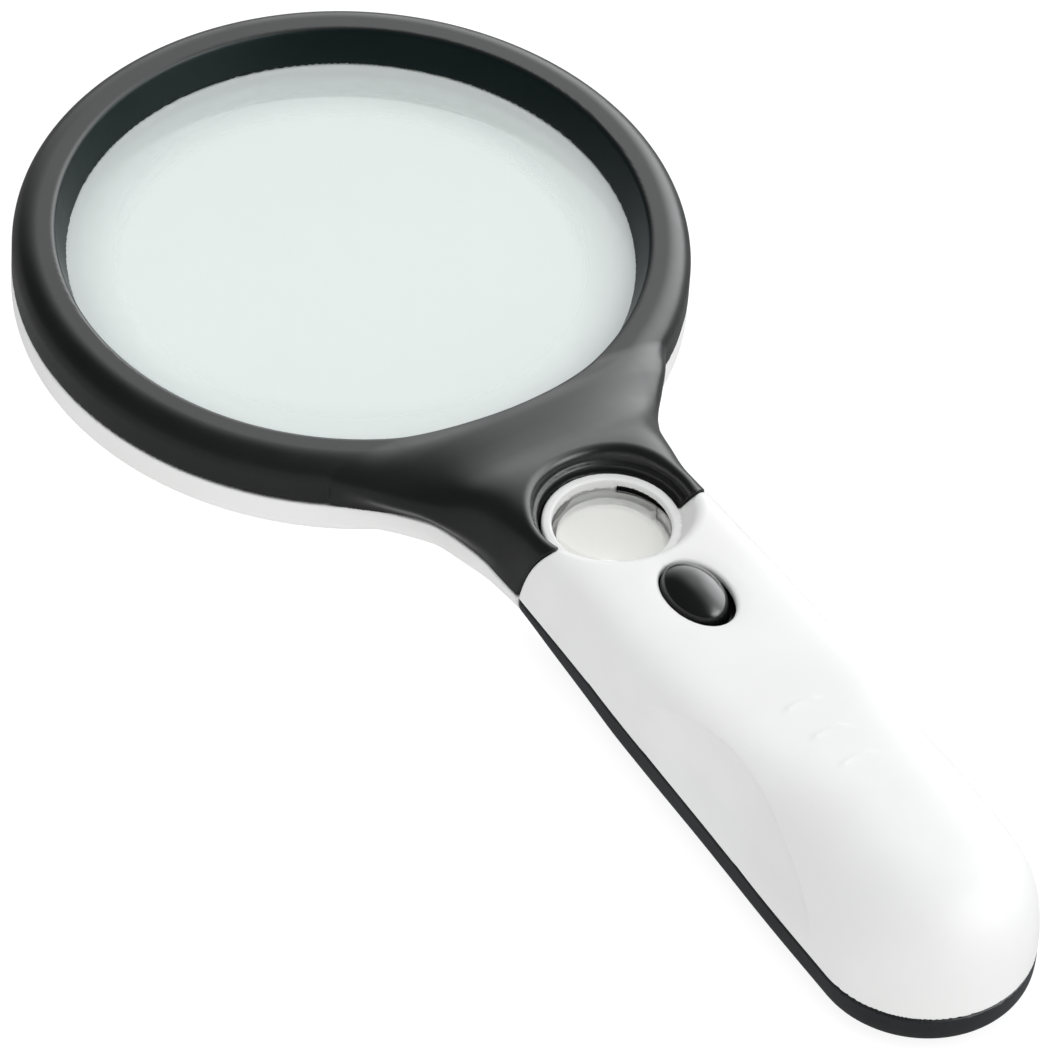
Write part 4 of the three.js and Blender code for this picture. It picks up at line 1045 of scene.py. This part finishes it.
def build(looks):
    """Every piece, named after the CAD node that it stands in for."""
    def solid(node, field, low, high, step, look, body="magnifier"):
        place(carve(node, field, low, high, step), looks[look], body)

    def wire(node, points, look, radius=0.32, side=1, shift=0):
        path = smooth_path([[x, side * y + shift, z] for x, y, z in points], 60)
        place(swept(node, path, radius), looks[look])

    solid("head_front_shell", head_front, (-43.6, -43.6, 5.7), (68, 43.6, 18), 0.36, "black")
    solid("head_rear_shell", head_rear, (-43.6, -43.6, 0), (73, 43.6, 9), 0.42, "white")
    solid("handle_front_cover", handle_front, (53, -14, 5.7), (146.8, 14, 22.4), 0.34, "white")
    solid("battery_cover", battery_door, (61, -14, 0), (146.8, 14, 5.6), 0.4, "rear_black", "battery_door")
    solid("switch_button", button, (72.6, -5.2, 13.7), (88, 5.2, 20), 0.17, "button", "switch")
    place(lens("main_lens", 36.3, 2.9, 0.3), looks["glass"])
    place(lens("small_lens", 6.8, 1.7, 0.25), looks["small_glass"])
    solid("switch_slider", slider, (78, -1.4, 11.5), (82.4, 1.4, 15.1), 0.14, "slider", "switch")
    solid("switch_can", can, (76.8, -2, 11.4), (85.6, 2, 13.7), 0.14, "steel")
    solid("switch_base", switch_base, (76.9, -1.9, 10.6), (85.5, 1.9, 11.5), 0.14, "phenolic")
    solid("circuit_board", board, (72, -9.6, 9.3), (87.4, 9.6, 10.7), 0.2, "board")
    solid("resistor", resistor, (75.6, 4.6, 7), (82.4, 6.4, 9.4), 0.1, "resistor")
    solid("battery_cradle", cradle, (87.9, -12.5, 3.2), (143.8, 12.5, 13.8), 0.3, "cradle")
    solid("contact_tail_bridge", tail_plate, (137.4, -9.6, 3.4), (138.1, 9.6, 11.1), 0.13, "nickel")
    for node, contact, side in (("cell_1", "negative", 1), ("cell_2", "positive", -1)):
        solid(node, *cell(node, side), 0.26, "wrap")
        solid(f"contact_head_{contact}", *head_plate(side), 0.13, "nickel")
    for node, side in (("spring_head", 1), ("spring_tail", -1)):
        ends = np.array(lens_x(node)) + (SPRING_WIRE, -SPRING_WIRE)
        place(swept(node, coil(*ends[::side], side), SPRING_WIRE), looks["nickel"])
    for i in (-1, 0, 1):
        x = SWITCH_X + PIN_PITCH * i
        pin = [[x, 0, z] for z in (8.5, 9, 10, 10.6)]
        place(swept(f"switch_terminal_{i + 2}", pin, 0.27), looks["brass"])
    for word, side in (("left", 1), ("right", -1)):
        for kind, at, low, top, head, shank in SCREWS:
            solid(f"{kind}_{word}", *screw((at[0], side * at[1]), low, top, head, shank), 0.13, "steel")
        solid(f"lamp_main_{word}", *round_lamp(side), 0.13, "lamp")
        wire(f"lamp_wire_{word}_red", LAMP_WIRE_LOW, "red", 0.41, side)
        wire(f"lamp_wire_{word}_black", LAMP_WIRE_HIGH, "wire_black", 0.41, side)
    low, high = mm_box("lamp_small")
    shift = np.array([ORIGIN_X, 0, 0])
    solid("lamp_small", flat_lamp, low - shift - 0.1, high - shift + 0.1, 0.11, "lamp")
    wire("lamp_small_wire_red", SMALL_WIRE_LOW, "red")
    wire("lamp_small_wire_black", SMALL_WIRE_HIGH, "wire_black")
    wire("cell_wire_red", CELL_WIRE, "red", shift=-CELL_Y)
    wire("cell_wire_black", CELL_WIRE, "wire_black", shift=CELL_Y)


# ---- stage, light and camera ----


FLOOR_HALF = 3.0
FLOOR_DROP = 2e-5
FLOOR_GLOW = (0.87, 0.05)
# direction, where the level starts and stops growing, then the level at each end or at the second
SKY_EVEN = ((0.15, 0.8, 0.6), -0.8, 0.25, 0.44, 0.84)
SKY_LOBES = (((0, 0.9, -0.12), -0.32, 0.9, 3.3), ((-0.25, 0.85, 0.45), 0.8, 1.0, 1.8),
             ((0.69, 0.4, 0.56), 0.88, 1.0, 5.0))
SKY_BASE = 0.03
SKY_COLOUR = (0.985, 0.995, 1.0, 1)
# azimuth, elevation and roll
CAMERA_TURN = (55.146, 45.047, 4.124)
CAMERA_DISTANCE = 1.133444
CAMERA_TARGET = (-0.004265, -0.002398, 0.0013)
CAMERA_LENS, CAMERA_SENSOR = 307.4, 36.0


def build_floor():
    mesh = bpy.data.meshes.new("floor")
    corners = ((-1, -1), (1, -1), (1, 1), (-1, 1))
    mesh.from_pydata([(x * FLOOR_HALF, y * FLOOR_HALF, -FLOOR_DROP) for x, y in corners], [], [(0, 1, 2, 3)])
    floor = bpy.data.objects.new("floor", mesh)
    bpy.context.scene.collection.objects.link(floor)
    n = Nodes("floor_paper")
    tone = n.blend(n.spread(n.noise(9, 2), 0, 1), (0.24, 0.24, 0.24), (0.26, 0.26, 0.26))
    paper = n.add("ShaderNodeBsdfDiffuse", {"Color": tone})
    path = n.add("ShaderNodeLightPath")
    level = n.spread(path.outputs["Is Glossy Ray"], *FLOOR_GLOW, 0, 1)
    lift = n.add("ShaderNodeEmission", {"Color": (1, 1, 1, 1), "Strength": level})
    mesh.materials.append(n.finish(n.add("ShaderNodeAddShader", {0: paper.outputs[0], 1: lift.outputs[0]})))


def build_world():
    """A soft sky, brighter above and behind; gloss sees three brighter parts of it instead."""
    n = Nodes("studio", world=True)

    def toward(direction, start, end, low, high, kind="LINEAR"):
        """A level that grows as the sky turns toward a direction."""
        lean = n.add("ShaderNodeVectorMath", {0: n.place, 1: Vector(direction).normalized()},
                     operation="DOT_PRODUCT")
        return n.spread(lean.outputs["Value"], low, high, start, end, kind)

    lobes = SKY_BASE
    for direction, start, end, strength in SKY_LOBES:
        lobes = n.math("ADD", toward(direction, start, end, 0, strength, "SMOOTHSTEP"), lobes)
    gloss = n.add("ShaderNodeLightPath").outputs["Is Glossy Ray"]
    level = n.add("ShaderNodeMix", {"Factor": gloss, 2: toward(*SKY_EVEN), 3: lobes}).outputs[0]
    back = n.add("ShaderNodeBackground", {"Color": SKY_COLOUR, "Strength": level})
    bpy.context.scene.world = n.finish(back)


def softbox(name, at, target, size, power):
    data = bpy.data.lights.new(name, "AREA")
    data.shape = "SQUARE"
    data.size = size
    data.energy = power
    lamp = bpy.data.objects.new(name, data)
    lamp.location = at
    lamp.visible_glossy = False
    lamp.rotation_mode = "QUATERNION"
    lamp.rotation_quaternion = (Vector(target) - Vector(at)).to_track_quat("-Z", "Y")
    bpy.context.scene.collection.objects.link(lamp)


def build_camera():
    """The camera's place round the middle of the object, with its small roll."""
    data = bpy.data.cameras.new("camera")
    data.sensor_width = CAMERA_SENSOR
    data.lens = CAMERA_LENS
    data.clip_start, data.clip_end = 0.05, 20.0
    camera = bpy.data.objects.new("camera", data)
    bpy.context.scene.collection.objects.link(camera)
    azimuth, elevation, roll = (math.radians(angle) for angle in CAMERA_TURN)
    back = Vector((math.sin(azimuth) * math.cos(elevation), -math.cos(azimuth) * math.cos(elevation),
                   math.sin(elevation)))
    level = Vector((0, 0, 1)).cross(back).normalized()
    upright = back.cross(level)
    right = level * math.cos(roll) + upright * math.sin(roll)
    up = upright * math.cos(roll) - level * math.sin(roll)
    turn = Matrix((right, up, back)).transposed().to_4x4()
    camera.matrix_world = Matrix.Translation(Vector(CAMERA_TARGET) + back * CAMERA_DISTANCE) @ turn
    bpy.context.scene.camera = camera


build(build_looks())
build_floor()
build_world()
softbox("key", (0.5, 0.15, 0.6), (0.05, 0, 0), 0.5, 0.9)
softbox("top", (-0.1, 0.3, 0.9), (0, 0, 0), 0.8, 0.9)
build_camera()
bpy.context.scene.view_settings.view_transform = "Standard"
